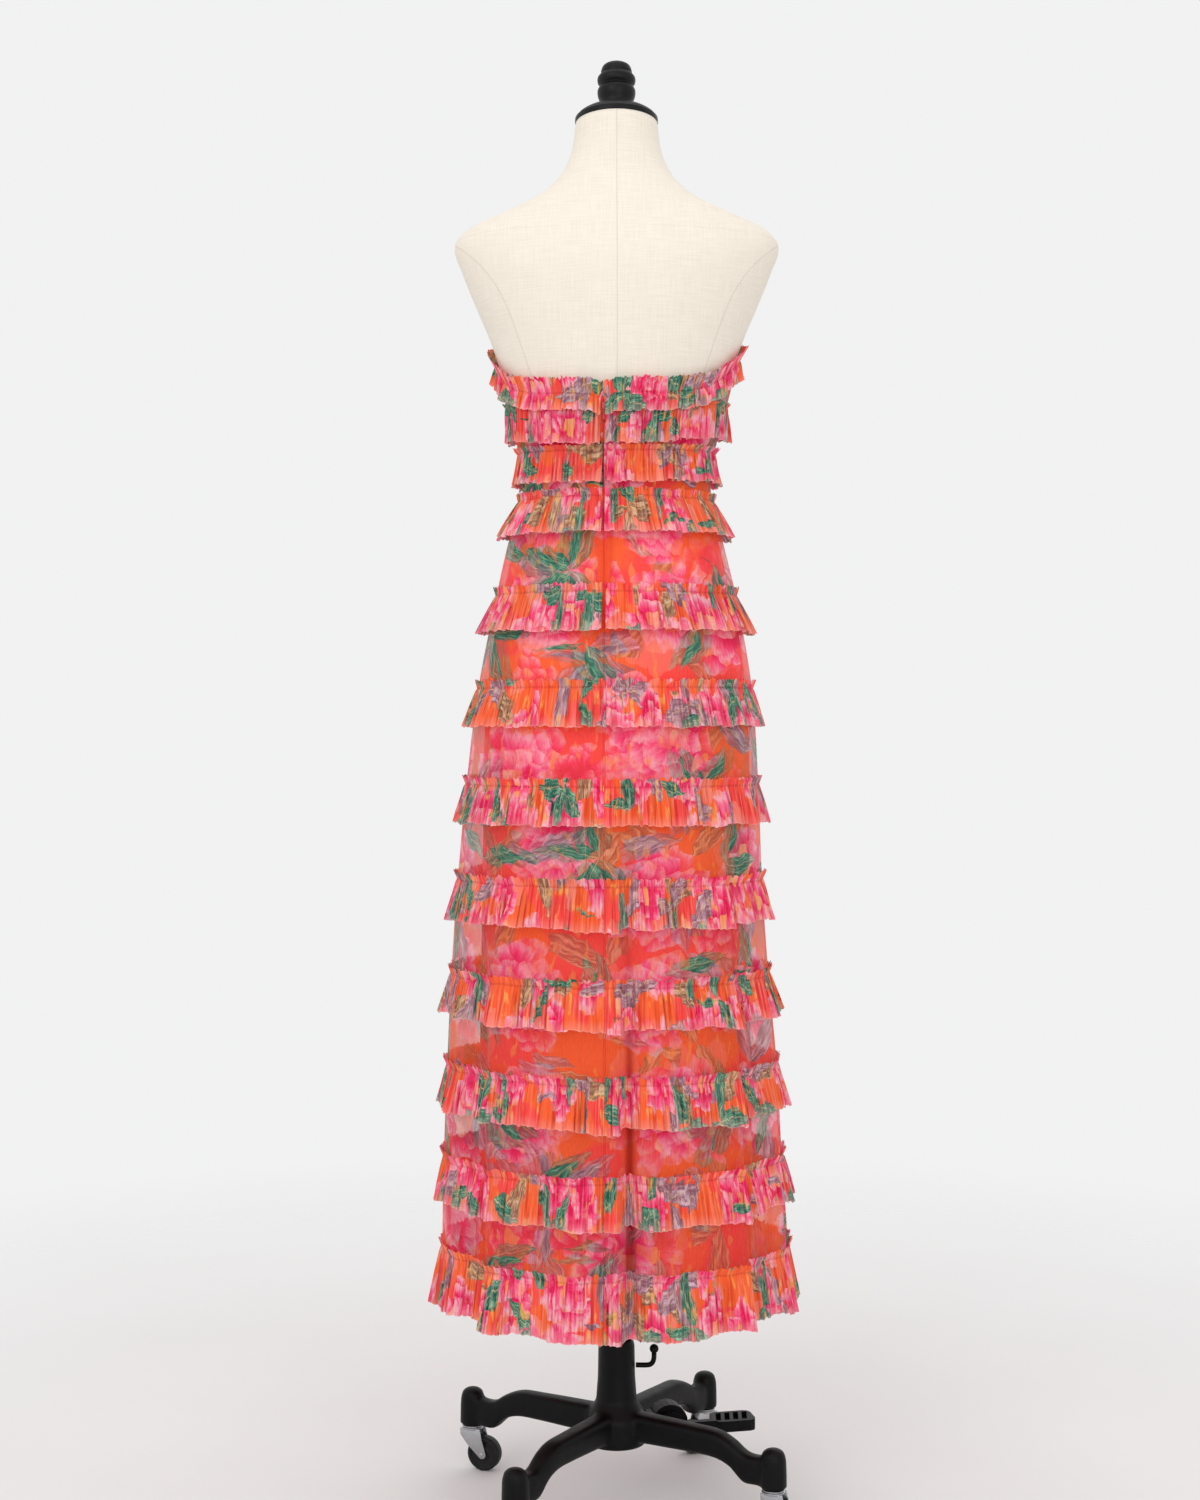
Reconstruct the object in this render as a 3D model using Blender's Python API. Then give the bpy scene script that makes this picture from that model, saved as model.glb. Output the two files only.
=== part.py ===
"""Long strapless dress of printed net with twelve gathered ruffles, worn by a limbless dress form.

Metres, +Z up. The origin is on the floor, on the axis of the stand's pole. The front of the dress
faces -Y and its back, with the zip, faces +Y, so the wearer's left is +X. A turn of 0 is the
centre front, 90 degrees is the wearer's left side and 180 degrees is the centre back.
"""
import math
from collections import namedtuple

import bmesh
import bpy
from mathutils import Matrix, Vector

# Driving sizes of the cloth
CLOTH = 0.0010
SEAM = 0.0003
COLUMNS = 48
WAVES = 16
SMALLEST_RADIUS = 0.080
ZIP_X = 0.015
ZIP_FOOT = 1.010
TAPE = 0.0006
TAPE_HALF = 0.007
TAPE_GAP = 0.0007
SLIDER_HEIGHT = 1.2820
SLIDER_HALF = 0.0040
PULL_OUT = 0.0034
WAIST = 1.190
BODICE_EASE = 0.0036
SLIP_EASE = 0.0006

# Driving sizes of the form and the stand
POLE_RADIUS = 0.0127
TUBE_RADIUS = 0.0175
TUBE_TOP = 0.670
SOCKET_FLOOR = 0.1135
RUNNING_GAP = 0.0004
LEG_REACH = 0.210
LEG_TURN = math.radians(57.4)
PEDAL_TURN = LEG_TURN + math.radians(135.0)
WHEEL_RADIUS = 0.0215
WHEEL_WIDTH = 0.0150
WHEEL_SIDES = 16
CASTER_TRAIL = 0.016
NECK_TILT = math.radians(6.5)
NECK_TOP = 1.6300

Section = namedtuple("Section", "height left right middle back front")
Fold = namedtuple("Fold", "turn spread depth top")
Ruffle = namedtuple("Ruffle", "back side front drop head flare")
LegRow = namedtuple("LegRow", "reach top bottom width")

# Dress form: half widths to each side, y of the widest line, depths behind and before that line
TORSO = (
    Section(0.7600, 0.1450, 0.1450, -0.003, 0.094, 0.092),
    Section(0.8000, 0.1520, 0.1520, -0.002, 0.104, 0.098),
    Section(0.8600, 0.1560, 0.1560, 0.000, 0.113, 0.102),
    Section(0.9500, 0.1525, 0.1525, 0.002, 0.114, 0.104),
    Section(1.0300, 0.1425, 0.1425, 0.001, 0.104, 0.103),
    Section(1.1100, 0.1250, 0.1250, -0.002, 0.091, 0.096),
    Section(1.1850, 0.1090, 0.1090, -0.004, 0.083, 0.088),
    Section(1.2100, 0.1075, 0.1075, -0.005, 0.083, 0.089),
    Section(1.2500, 0.1140, 0.1140, -0.005, 0.087, 0.097),
    Section(1.2900, 0.1250, 0.1250, -0.003, 0.092, 0.107),
    Section(1.3300, 0.1350, 0.1350, 0.000, 0.097, 0.112),
    Section(1.3700, 0.1480, 0.1480, 0.002, 0.101, 0.108),
    Section(1.4100, 0.1650, 0.1650, 0.004, 0.101, 0.098),
    Section(1.4500, 0.1810, 0.1810, 0.006, 0.096, 0.084),
    Section(1.4800, 0.1900, 0.1900, 0.006, 0.085, 0.070),
    Section(1.5000, 0.1750, 0.1750, 0.005, 0.075, 0.061),
    Section(1.5160, 0.1430, 0.1430, 0.003, 0.067, 0.056),
    Section(1.5330, 0.1070, 0.1070, 0.000, 0.060, 0.053),
    Section(1.5490, 0.0830, 0.0830, -0.004, 0.056, 0.052),
    Section(1.5670, 0.0665, 0.0665, -0.009, 0.052, 0.051),
    Section(1.5950, 0.0535, 0.0535, -0.013, 0.050, 0.050),
    Section(1.6297, 0.0485, 0.0485, -0.015, 0.0485, 0.0485),
)
TORSO_COLUMNS = 28
BUST_HEIGHT = 1.315
BUST_SPREAD = 0.048
BUST_TURN = math.radians(30.0)
BUST_WIDTH = math.radians(26.0)
BUST_OUT = 0.016

# Net skirt: a row at its hem, at each ruffle's gathering line, over the hip and at the waist
SKIRT = (
    Section(0.2560, 0.2035, 0.2035, 0.000, 0.193, 0.187),
    Section(0.3070, 0.2035, 0.2025, 0.000, 0.191, 0.185),
    Section(0.4140, 0.2020, 0.1950, 0.000, 0.185, 0.178),
    Section(0.5220, 0.1985, 0.1890, 0.000, 0.177, 0.169),
    Section(0.6290, 0.1940, 0.1790, 0.000, 0.167, 0.158),
    Section(0.7400, 0.1870, 0.1715, 0.000, 0.155, 0.147),
    Section(0.8510, 0.1770, 0.1670, 0.000, 0.142, 0.135),
    Section(0.9630, 0.1630, 0.1595, 0.001, 0.128, 0.122),
    Section(1.0720, 0.1415, 0.1405, 0.000, 0.107, 0.111),
    Section(1.1250, 0.1300, 0.1280, -0.002, 0.097, 0.103),
    Section(1.1820, 0.1150, 0.1140, -0.004, 0.0895, 0.092),
    Section(WAIST, 0.1125, 0.1125, -0.004, 0.0880, 0.0915),
)

# Slip below the hips, where it hangs clear of the form
SLIP_HEM = Section(0.2880, 0.1610, 0.1610, 0.002, 0.128, 0.116)
SLIP_HIP = 0.8600
SLIP_TOP = 1.1850

# Large folds of the skirt: turn, half spread, depth at the hem and the height where each starts
FOLDS = (
    Fold(186.0, 15.0, 0.021, 0.88),
    Fold(242.0, 15.0, 0.012, 0.82),
    Fold(214.0, 13.0, 0.008, 0.58),
    Fold(157.0, 12.0, 0.008, 0.62),
    Fold(127.0, 15.0, 0.013, 0.80),
    Fold(64.0, 14.0, 0.010, 0.72),
    Fold(22.0, 15.0, 0.013, 0.86),
    Fold(338.0, 13.0, 0.009, 0.66),
    Fold(300.0, 15.0, 0.012, 0.78),
)

# Top edge of the bodice: turn from the centre front and height, alike on both sides
NECKLINE = (
    (0.0, 1.355),
    (28.0, 1.366),
    (60.0, 1.359),
    (90.0, 1.346),
    (122.0, 1.312),
    (145.0, 1.302),
    (170.0, 1.299),
    (180.0, 1.293),
)

# Ruffles from the top: heights of the gathering line, drop, head above it, and flare at the hem
RUFFLES = (
    Ruffle(None, None, None, 0.0200, 0.0170, 0.0075),
    Ruffle(1.280, 1.293, 1.322, 0.0400, 0.0035, 0.0090),
    Ruffle(1.234, 1.238, 1.250, 0.0370, 0.0060, 0.0090),
    Ruffle(1.182, 1.182, 1.182, 0.0420, 0.0085, 0.0105),
    Ruffle(1.072, 1.072, 1.072, 0.0440, 0.0090, 0.0100),
    Ruffle(0.963, 0.963, 0.963, 0.0440, 0.0090, 0.0080),
    Ruffle(0.851, 0.851, 0.851, 0.0440, 0.0090, 0.0070),
    Ruffle(0.740, 0.740, 0.740, 0.0460, 0.0090, 0.0080),
    Ruffle(0.629, 0.629, 0.629, 0.0450, 0.0090, 0.0070),
    Ruffle(0.522, 0.522, 0.522, 0.0470, 0.0090, 0.0080),
    Ruffle(0.414, 0.414, 0.414, 0.0470, 0.0090, 0.0080),
    Ruffle(0.307, 0.307, 0.307, 0.0620, 0.0090, 0.0085),
)
BODICE_RUFFLES = 3
OPEN_RUFFLES = 5
HEAD_OUT = 0.0030
WAVE_OUT = 0.0040
ZIP_CLEAR = 0.0029
WAIST_RADIUS = 0.105

# Leg of the stand, along its reach from the pole
LEG = (
    LegRow(0.012, 0.1120, 0.0760, 0.030),
    LegRow(0.060, 0.1110, 0.0780, 0.028),
    LegRow(0.110, 0.1100, 0.0790, 0.026),
    LegRow(0.138, 0.1085, 0.0780, 0.025),
    LegRow(0.158, 0.1010, 0.0710, 0.024),
    LegRow(0.174, 0.0910, 0.0570, 0.023),
    LegRow(0.188, 0.0890, 0.0564, 0.023),
    LegRow(0.206, 0.0930, 0.0564, 0.019),
)
LEG_CHAMFER = 0.006
FOOT_BOTTOM = 0.0560

# Way each caster trails, in degrees about Z
TRAILS = {"a": 236.0, "b": 160.0, "c": 28.0, "d": 160.0}


def clear_scene():
    for item in list(bpy.data.objects):
        bpy.data.objects.remove(item, do_unlink=True)


def finish_of(name, colour, roughness, metallic=0.0):
    material = bpy.data.materials.new(name)
    material.use_nodes = True
    shader = material.node_tree.nodes["Principled BSDF"]
    shader.inputs["Base Color"].default_value = (*colour, 1.0)
    shader.inputs["Roughness"].default_value = roughness
    shader.inputs["Metallic"].default_value = metallic
    return material


def add_object(name, bm, finish, place=None, smooth=True):
    """One object from a bmesh, with its material, placed by a matrix."""
    mesh = bpy.data.meshes.new(name)
    bm.to_mesh(mesh)
    bm.free()
    if smooth:
        mesh.shade_smooth()
        mesh.set_sharp_from_angle(angle=math.radians(40.0))
    item = bpy.data.objects.new(name, mesh)
    item.data.materials.append(finish)
    bpy.context.scene.collection.objects.link(item)
    if place is not None:
        item.matrix_world = place
    return item


def hide_tool(item):
    item.hide_render = True
    item.display_type = "WIRE"


def combine(item, tool, operation):
    """Joins a hidden tool to an object, or cuts the object with it."""
    hide_tool(tool)
    modifier = item.modifiers.new(tool.name, "BOOLEAN")
    modifier.operation = operation
    modifier.solver = "EXACT"
    modifier.object = tool


def turned(profile, sides, closed=False, start=0.0):
    """Profile of (radius, height) points turned about Z; a closed one leaves a bore."""
    bm = bmesh.new()
    axis_turn = Matrix.Rotation(start, 4, "Z")
    points = [bm.verts.new(axis_turn @ Vector((radius, 0.0, height))) for radius, height in profile]
    edges = [bm.edges.new(pair) for pair in zip(points, points[1:])]
    if closed:
        edges.append(bm.edges.new((points[-1], points[0])))
    bmesh.ops.spin(
        bm, geom=points + edges, axis=(0, 0, 1), cent=(0, 0, 0),
        angle=math.tau, steps=sides, use_merge=True,
    )
    bmesh.ops.remove_doubles(bm, verts=bm.verts, dist=1e-6)
    bmesh.ops.recalc_face_normals(bm, faces=bm.faces)
    return bm


def block(low, high):
    """Box between two corners."""
    bm = bmesh.new()
    centre = (Vector(low) + Vector(high)) / 2
    size = Vector(high) - Vector(low)
    place = Matrix.Translation(centre) @ Matrix.Diagonal((*size, 1.0))
    bmesh.ops.create_cube(bm, size=1.0, matrix=place)
    return bm


def section_at(table, height):
    """Section of a table at a height, straight between one row and the next."""
    for low, high in zip(table, table[1:]):
        if height <= high.height:
            break
    share = (height - low.height) / (high.height - low.height)
    return Section(*(a + (b - a) * share for a, b in zip(low, high)))


def on_section(section, turn, out):
    """Point of a section at a turn, moved out square to it."""
    across, along = math.sin(turn), -math.cos(turn)
    half = section.left if across > 0 else section.right
    depth = section.front if along < 0 else section.back
    square = Vector((across / half, along / depth, 0.0)).normalized()
    return Vector((half * across, section.middle + depth * along, section.height)) + square * out


def turn_apart(turn, other):
    """Angle between two turns, whichever way round is shorter."""
    return abs((turn - other + math.pi) % math.tau - math.pi)


def bust(turn, height):
    rise = math.exp(-(((height - BUST_HEIGHT) / BUST_SPREAD) ** 2))
    cups = sum(
        math.exp(-((turn_apart(turn, side * BUST_TURN) / BUST_WIDTH) ** 2)) for side in (-1, 1)
    )
    return BUST_OUT * rise * cups


def torso_point(turn, height, out=0.0):
    """Point of the form's covered surface, with the neck's top tilted forward."""
    point = on_section(section_at(TORSO, height), turn, out + bust(turn, height))
    tilted = max(0.0, (height - TORSO[-3].height) / (TORSO[-1].height - TORSO[-3].height))
    point.z += tilted * math.tan(NECK_TILT) * (point.y - TORSO[-1].middle)
    return point


def zip_turn(half_width):
    """The worn dress sits turned a little, which brings its zip to ZIP_X."""
    return math.asin(ZIP_X / half_width)


def bodice_point(turn, height, out=0.0):
    shift = zip_turn(section_at(TORSO, height).left)
    return torso_point(turn - shift, height, BODICE_EASE + out)


def fold_depth(turn, height):
    hem = SKIRT[0].height
    depth = 0.0
    for fold in FOLDS:
        apart = math.degrees(turn_apart(turn, math.radians(fold.turn)))
        if apart < fold.spread and height < fold.top:
            share = (fold.top - height) / (fold.top - hem)
            depth += fold.depth * share * math.cos(math.pi / 2 * apart / fold.spread) ** 2
    return depth


def skirt_point(turn, height, out=0.0):
    section = section_at(SKIRT, height)
    shift = zip_turn(section.left)
    return on_section(section, turn - shift, out - fold_depth(turn, height))


def neckline(turn):
    """Height of the bodice's top edge, straight between the points of its table."""
    apart = math.degrees(turn_apart(turn, 0.0))
    for (low, start), (high, end) in zip(NECKLINE, NECKLINE[1:]):
        if apart <= high:
            break
    share = (apart - low) / (high - low)
    return start + (end - start) * share


def gather_line(ruffle, turn):
    """Height where a ruffle is sewn on."""
    if ruffle.back is None:
        return neckline(turn) - 0.002
    apart = turn_apart(turn, 0.0)
    facing = math.cos(apart)
    end = ruffle.front if facing > 0 else ruffle.back
    return ruffle.side + (end - ruffle.side) * facing ** 2


def bodice_levels(turn):
    """Heights of the bodice's rows: its foot, its ruffles' lines, rows between them, its top."""
    top, upper, lower = (gather_line(ruffle, turn) for ruffle in RUFFLES[:BODICE_RUFFLES])
    foot = WAIST + SEAM
    return [foot, lower, (lower + upper) / 2, upper, (upper + top) / 2, neckline(turn)]


def skirt_levels(turn):
    return [row.height for row in SKIRT]


def on_cloth(point, levels, turn, height, out):
    """Point off a cloth that is straight between its rows."""
    rows = levels(turn)
    for low, high in zip(rows, rows[1:]):
        if height <= high:
            break
    share = (height - low) / (high - low)
    return point(turn, low, out).lerp(point(turn, high, out), share)


def wall(name, rows, finish, outward, ring=False):
    """Cloth wall from rows of points, lowest first, thickened outward or inward."""
    bm = bmesh.new()
    grid = [[bm.verts.new(point) for point in row] for row in rows]
    for low, high in zip(grid, grid[1:]):
        columns = len(low)
        for here in range(columns if ring else columns - 1):
            there = (here + 1) % columns
            bm.faces.new((low[here], low[there], high[there]))
            bm.faces.new((low[here], high[there], high[here]))
    item = add_object(name, bm, finish)
    skin = item.modifiers.new("Cloth", "SOLIDIFY")
    skin.thickness = CLOTH
    skin.offset = 1.0 if outward else -1.0
    return item


def panel_turns(first, last, columns):
    """Turns of a panel's columns, its two ends drawn in by half a seam's gap."""
    inset = SEAM / 2 / SMALLEST_RADIUS
    turns = [first + (last - first) * step / columns for step in range(columns + 1)]
    turns[0] += inset
    turns[-1] -= inset
    return turns


def panel(name, point, levels, first, last, columns, finish):
    turns = panel_turns(math.radians(first), math.radians(last), columns)
    count = len(levels(0.0))
    rows = [[point(turn, levels(turn)[row]) for turn in turns] for row in range(count)]
    return wall(name, rows, finish, outward=False)


def add_bodice(finish):
    quarter = COLUMNS // 4
    panel("bodice_front", bodice_point, bodice_levels, -90, 90, 2 * quarter, finish)
    panel("bodice_back_left", bodice_point, bodice_levels, 90, 180, quarter, finish)
    panel("bodice_back_right", bodice_point, bodice_levels, 180, 270, quarter, finish)


def add_skirt(finish):
    quarter = COLUMNS // 4
    panel("skirt_front", skirt_point, skirt_levels, -90, 90, 2 * quarter, finish)
    panel("skirt_back_left", skirt_point, skirt_levels, 90, 180, quarter, finish)
    panel("skirt_back_right", skirt_point, skirt_levels, 180, 270, quarter, finish)


def add_slip(finish):
    """Slip that lies on the form's hips and hangs straight below them."""
    heights = [row.height for row in TORSO if SLIP_HIP <= row.height <= SLIP_TOP]
    half = TORSO_COLUMNS // 2
    for name, first in (("slip_front", -90), ("slip_back", 90)):
        start = math.radians(first)
        turns = panel_turns(start, start + math.pi, half)
        rows = [[on_section(SLIP_HEM, turn, 0.0) for turn in turns]]
        rows += [[torso_point(turn, height, SLIP_EASE) for turn in turns] for height in heights]
        wall(name, rows, finish, outward=True)


def wave(column, index):
    """One crest and a wider hollow in each group of columns, uneven around the ruffle."""
    group = COLUMNS // WAVES
    place = column + index
    strength = 0.8 + 0.2 * math.sin(2.4 * (place // group) + 1.9 * index)
    return strength * (1.0 if place % group == 0 else -0.5)


def add_ruffle(index, ruffle, finish):
    """Strip gathered on a line below its top edge: a head above the line, waves below it."""
    number = index + 1
    on_bodice = index < BODICE_RUFFLES
    point = bodice_point if on_bodice else skirt_point
    levels = bodice_levels if on_bodice else skirt_levels
    split = index < OPEN_RUFFLES
    turns = [math.pi + math.tau * step / COLUMNS for step in range(COLUMNS + 1)]
    if split:
        inset = math.asin(ZIP_CLEAR / WAIST_RADIUS)
        turns[0] += inset
        turns[-1] -= inset
    else:
        turns.pop()
    hem, line, head = [], [], []
    for column, turn in enumerate(turns):
        height = gather_line(ruffle, turn)
        swing = wave(column % COLUMNS, index)
        flare = ruffle.flare + WAVE_OUT * swing
        drop = ruffle.drop * (1.0 + 0.03 * swing)
        hem.append(on_cloth(point, levels, turn, height - drop, flare))
        line.append(on_cloth(point, levels, turn, height, RUNNING_GAP))
        lean = HEAD_OUT * (1.0 - 0.3 * swing) * min(1.0, ruffle.head / 0.006)
        head.append(on_cloth(point, levels, turn, height + ruffle.head, lean))
    wall(f"ruffle_{number:02d}", [hem, line, head], finish, outward=True, ring=not split)


def add_zip(tape_finish, metal):
    """Tape behind the back seam, a slider on it and the pull tab that hangs from the slider."""
    heights = [ZIP_FOOT]
    heights += [row.height for row in SKIRT if ZIP_FOOT < row.height < WAIST]
    heights += [height for height in bodice_levels(math.pi)]
    heights[-1] -= 0.002
    under = -(CLOTH + TAPE_GAP)
    rows = []
    for height in heights:
        cloth = (bodice_point, bodice_levels) if height > WAIST else (skirt_point, skirt_levels)
        middle = on_cloth(*cloth, math.pi, height, under)
        edges = []
        for side in (-1, 1):
            beside = on_cloth(*cloth, math.pi + side * math.tau / COLUMNS, height, under)
            edges.append(middle + (beside - middle).normalized() * TAPE_HALF)
        rows.append([edges[0], middle, edges[1]])
    tape = wall("zip_tape", rows, tape_finish, outward=False)
    tape.modifiers["Cloth"].thickness = TAPE

    low, high = (
        on_cloth(bodice_point, bodice_levels, math.pi, SLIDER_HEIGHT + side * SLIDER_HALF, RUNNING_GAP)
        for side in (-1, 1)
    )
    lean = math.atan2(low.y - high.y, high.z - low.z)
    centre = (low + high) / 2
    pivot = Vector((centre.x, centre.y + PULL_OUT, SLIDER_HEIGHT))
    place = Matrix.Translation(pivot)
    leaning = place @ Matrix.Rotation(lean, 4, "X")
    body = block((-0.0023, -0.0032, -SLIDER_HALF), (0.0023, -0.0014, SLIDER_HALF))
    slider = add_object("zip_slider", body, metal, leaning, smooth=False)
    for name, near, far in (("left", 0.0012, 0.0023), ("right", -0.0023, -0.0012)):
        cheek = block((near, -0.0020, -0.0010), (far, 0.0010, 0.0010))
        tool = add_object(f"cheek_shape_{name}", cheek, metal, leaning, smooth=False)
        combine(slider, tool, "UNION")
    tab = block((-0.0009, -0.0006, -0.0150), (0.0009, 0.0006, 0.0006))
    for vert in tab.verts:
        if vert.co.z < -0.010:
            vert.co.x *= 1.5
    add_object("zip_pull", tab, metal, place, smooth=False)


def add_form(linen, black, chrome):
    """Limbless form, its neck cap and finial, and the socket that turns on the pole."""
    bm = bmesh.new()
    rings = []
    for row in TORSO:
        turns = [math.tau * step / TORSO_COLUMNS for step in range(TORSO_COLUMNS)]
        rings.append([bm.verts.new(torso_point(turn, row.height)) for turn in turns])
    for low, high in zip(rings, rings[1:]):
        for here in range(TORSO_COLUMNS):
            there = (here + 1) % TORSO_COLUMNS
            bm.faces.new((low[here], low[there], high[there]))
            bm.faces.new((low[here], high[there], high[here]))
    bm.faces.new(list(reversed(rings[0])))
    bm.faces.new(rings[-1])
    add_object("torso", bm, linen)

    tilt = Matrix.Translation((0.0, TORSO[-1].middle, NECK_TOP)) @ Matrix.Rotation(NECK_TILT, 4, "X")
    cap = ((0, 0), (0.0490, 0), (0.0490, 0.0066), (0.0445, 0.0108), (0.0350, 0.0165),
           (0.0195, 0.0215), (0, 0.0220))
    add_object("neck_cap", turned(cap, 24), black, tilt)
    finial = ((0, 0), (0.0195, 0), (0.0195, 0.0065), (0.0222, 0.0125), (0.0222, 0.0195),
              (0.0186, 0.0242), (0.0222, 0.0285), (0.0222, 0.0345), (0.0180, 0.0392),
              (0.0184, 0.0425), (0.0160, 0.0485), (0.0095, 0.0522), (0, 0.0535))
    seat = tilt @ Matrix.Translation((0, 0, cap[-1][1] + SEAM))
    add_object("neck_finial", turned(finial, 16), black, seat)

    foot = TORSO[0].height - SEAM
    bore = POLE_RADIUS + RUNNING_GAP
    socket = ((0, foot), (0.0450, foot), (0.0450, foot - 0.0080), (0.0220, foot - 0.0080),
              (0.0200, foot - 0.0450), (bore, foot - 0.0450), (bore, foot - 0.0060),
              (0, foot - 0.0060))
    add_object("torso_socket", turned(list(reversed(socket)), 24), black)
    pole_top = foot - 0.0060 - SEAM
    pole = ((0, 0.300), (POLE_RADIUS, 0.300), (POLE_RADIUS, pole_top), (0, pole_top))
    add_object("inner_pole", turned(pole, 24), chrome)


def leg_body():
    """Leg along +X from the hub to its foot, with chamfered edges."""
    bm = bmesh.new()
    rings = []
    for row in LEG:
        half, cut = row.width / 2, LEG_CHAMFER
        outline = (
            (-half + cut, row.bottom), (half - cut, row.bottom),
            (half, row.bottom + cut), (half, row.top - cut),
            (half - cut, row.top), (-half + cut, row.top),
            (-half, row.top - cut), (-half, row.bottom + cut),
        )
        rings.append([bm.verts.new((row.reach, y, z)) for y, z in outline])
    for near, far in zip(rings, rings[1:]):
        for here in range(len(near)):
            there = (here + 1) % len(near)
            bm.faces.new((near[here], near[there], far[there], far[here]))
    bm.faces.new(list(reversed(rings[0])))
    bm.faces.new(rings[-1])
    bmesh.ops.recalc_face_normals(bm, faces=bm.faces)
    return bm


def leg_places():
    """Names and turns of the four legs."""
    return [(name, LEG_TURN + math.pi / 2 * step) for step, name in enumerate("abcd")]


def add_base(iron):
    """Cast hub with a socket for the tube, and four legs with feet over the casters."""
    bore = TUBE_RADIUS + RUNNING_GAP
    hub = ((0, 0.0700), (0.0340, 0.0700), (0.0362, 0.0740), (0.0362, 0.1020), (0.0300, 0.1120),
           (0.0240, 0.1200), (0.0215, 0.1880), (0.0198, 0.1890), (0.0198, 0.1950), (bore, 0.1950),
           (bore, SOCKET_FLOOR), (0, SOCKET_FLOOR))
    base = add_object("stand_base", turned(hub, 20), iron)
    foot = ((0, FOOT_BOTTOM), (0.0155, FOOT_BOTTOM), (0.0148, 0.0880), (0.0125, 0.0965),
            (0.0070, 0.1005), (0, 0.1010))
    for name, turn in leg_places():
        swing = Matrix.Rotation(turn, 4, "Z")
        combine(base, add_object(f"leg_shape_{name}", leg_body(), iron, swing), "UNION")
        reach = swing @ Matrix.Translation((LEG_REACH, 0, 0))
        combine(base, add_object(f"foot_shape_{name}", turned(foot, 12), iron, reach), "UNION")
    foot_of_tube = SOCKET_FLOOR + SEAM
    inside = POLE_RADIUS + RUNNING_GAP
    tube = ((inside, foot_of_tube), (TUBE_RADIUS, foot_of_tube), (TUBE_RADIUS, TUBE_TOP),
            (inside, TUBE_TOP))
    add_object("outer_tube", turned(tube, 24, closed=True), iron)


def add_lever(iron):
    """Bent locking lever on the hub's right side: a rod that turns up to a ball."""
    height, start, corner, ball = 0.1620, -0.0229, -0.0385, 0.0055
    rod = 0.0030
    stations = [((start, 0), rod), ((corner, 0), rod), ((-0.0425, 0.0020), rod),
                ((-0.0440, 0.0060), rod), ((-0.0445, 0.0145), rod), ((-0.0445, 0.0162), 0.0046),
                ((-0.0445, 0.0195), ball), ((-0.0445, 0.0228), 0.0046), ((-0.0445, 0.0248), 0.0018)]
    sides = 10
    bm = bmesh.new()
    rings = []
    centres = [Vector((x, 0.0, z)) for (x, z), _ in stations]
    for index, (_, radius) in enumerate(stations):
        before = centres[max(index - 1, 0)]
        after = centres[min(index + 1, len(centres) - 1)]
        heading = (after - before).normalized()
        side = Vector((0, 1, 0))
        up = heading.cross(side)
        ring = []
        for step in range(sides):
            turn = math.tau * step / sides
            around = side * math.cos(turn) + up * math.sin(turn)
            ring.append(bm.verts.new(centres[index] + radius * around))
        rings.append(ring)
    for near, far in zip(rings, rings[1:]):
        for here in range(sides):
            there = (here + 1) % sides
            bm.faces.new((near[here], near[there], far[there], far[here]))
    bm.faces.new(list(reversed(rings[0])))
    bm.faces.new(rings[-1])
    bmesh.ops.recalc_face_normals(bm, faces=bm.faces)
    add_object("lock_lever", bm, iron, Matrix.Translation((0, 0, height)))


def add_pedal(iron):
    """Drum bolted to the hub between two legs, and the foot pedal that rocks on its pin."""
    reach, height = 0.0625, 0.0920
    swing = Matrix.Rotation(PEDAL_TURN, 4, "Z")
    place = swing @ Matrix.Translation((reach, 0, height))
    upright = Matrix.Rotation(math.radians(90.0), 4, "X")
    drum = ((0, -0.0120), (0.0220, -0.0120), (0.0220, 0.0120), (0.0050, 0.0120),
            (0.0050, 0.0210), (0, 0.0210))
    housing = add_object("pedal_housing", turned(drum, 20), iron, place @ upright)
    bracket = block((-0.0258, -0.0090, -0.0120), (-0.0100, 0.0090, 0.0120))
    combine(housing, add_object("bracket_shape", bracket, iron, place), "UNION")

    bore = 0.0050 + RUNNING_GAP
    disc = ((bore, 0.0123), (0.0155, 0.0123), (0.0155, 0.0205), (bore, 0.0205))
    pedal = add_object("foot_pedal", turned(disc, 20, closed=True), iron, place @ upright)
    arm = block((0.0100, -0.0205, -0.0090), (0.0560, -0.0123, 0.0020))
    combine(pedal, add_object("arm_shape", arm, iron, place), "UNION")
    pad = block((0.0530, -0.0235, -0.0120), (0.1040, 0.0135, 0.0010))
    bmesh.ops.bevel(
        pad, geom=[edge for edge in pad.edges if abs(edge.verts[0].co.z - edge.verts[1].co.z) > 0.005],
        offset=0.008, segments=2, profile=0.5, affect="EDGES", material=-1,
    )
    combine(pedal, add_object("pad_shape", pad, iron, place), "UNION")
    for step in range(4):
        middle = 0.0625 + 0.0107 * step
        slot = block((-0.0032, -0.0180, -0.0045), (0.0032, 0.0085, 0.0045))
        shear = Matrix.Identity(4)
        shear[0][1] = 0.25
        spot = place @ Matrix.Translation((middle, 0, 0)) @ shear
        bmesh.ops.transform(slot, matrix=spot, verts=slot.verts)
        combine(pedal, add_object(f"slot_shape_{step + 1}", slot, iron), "DIFFERENCE")


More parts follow.
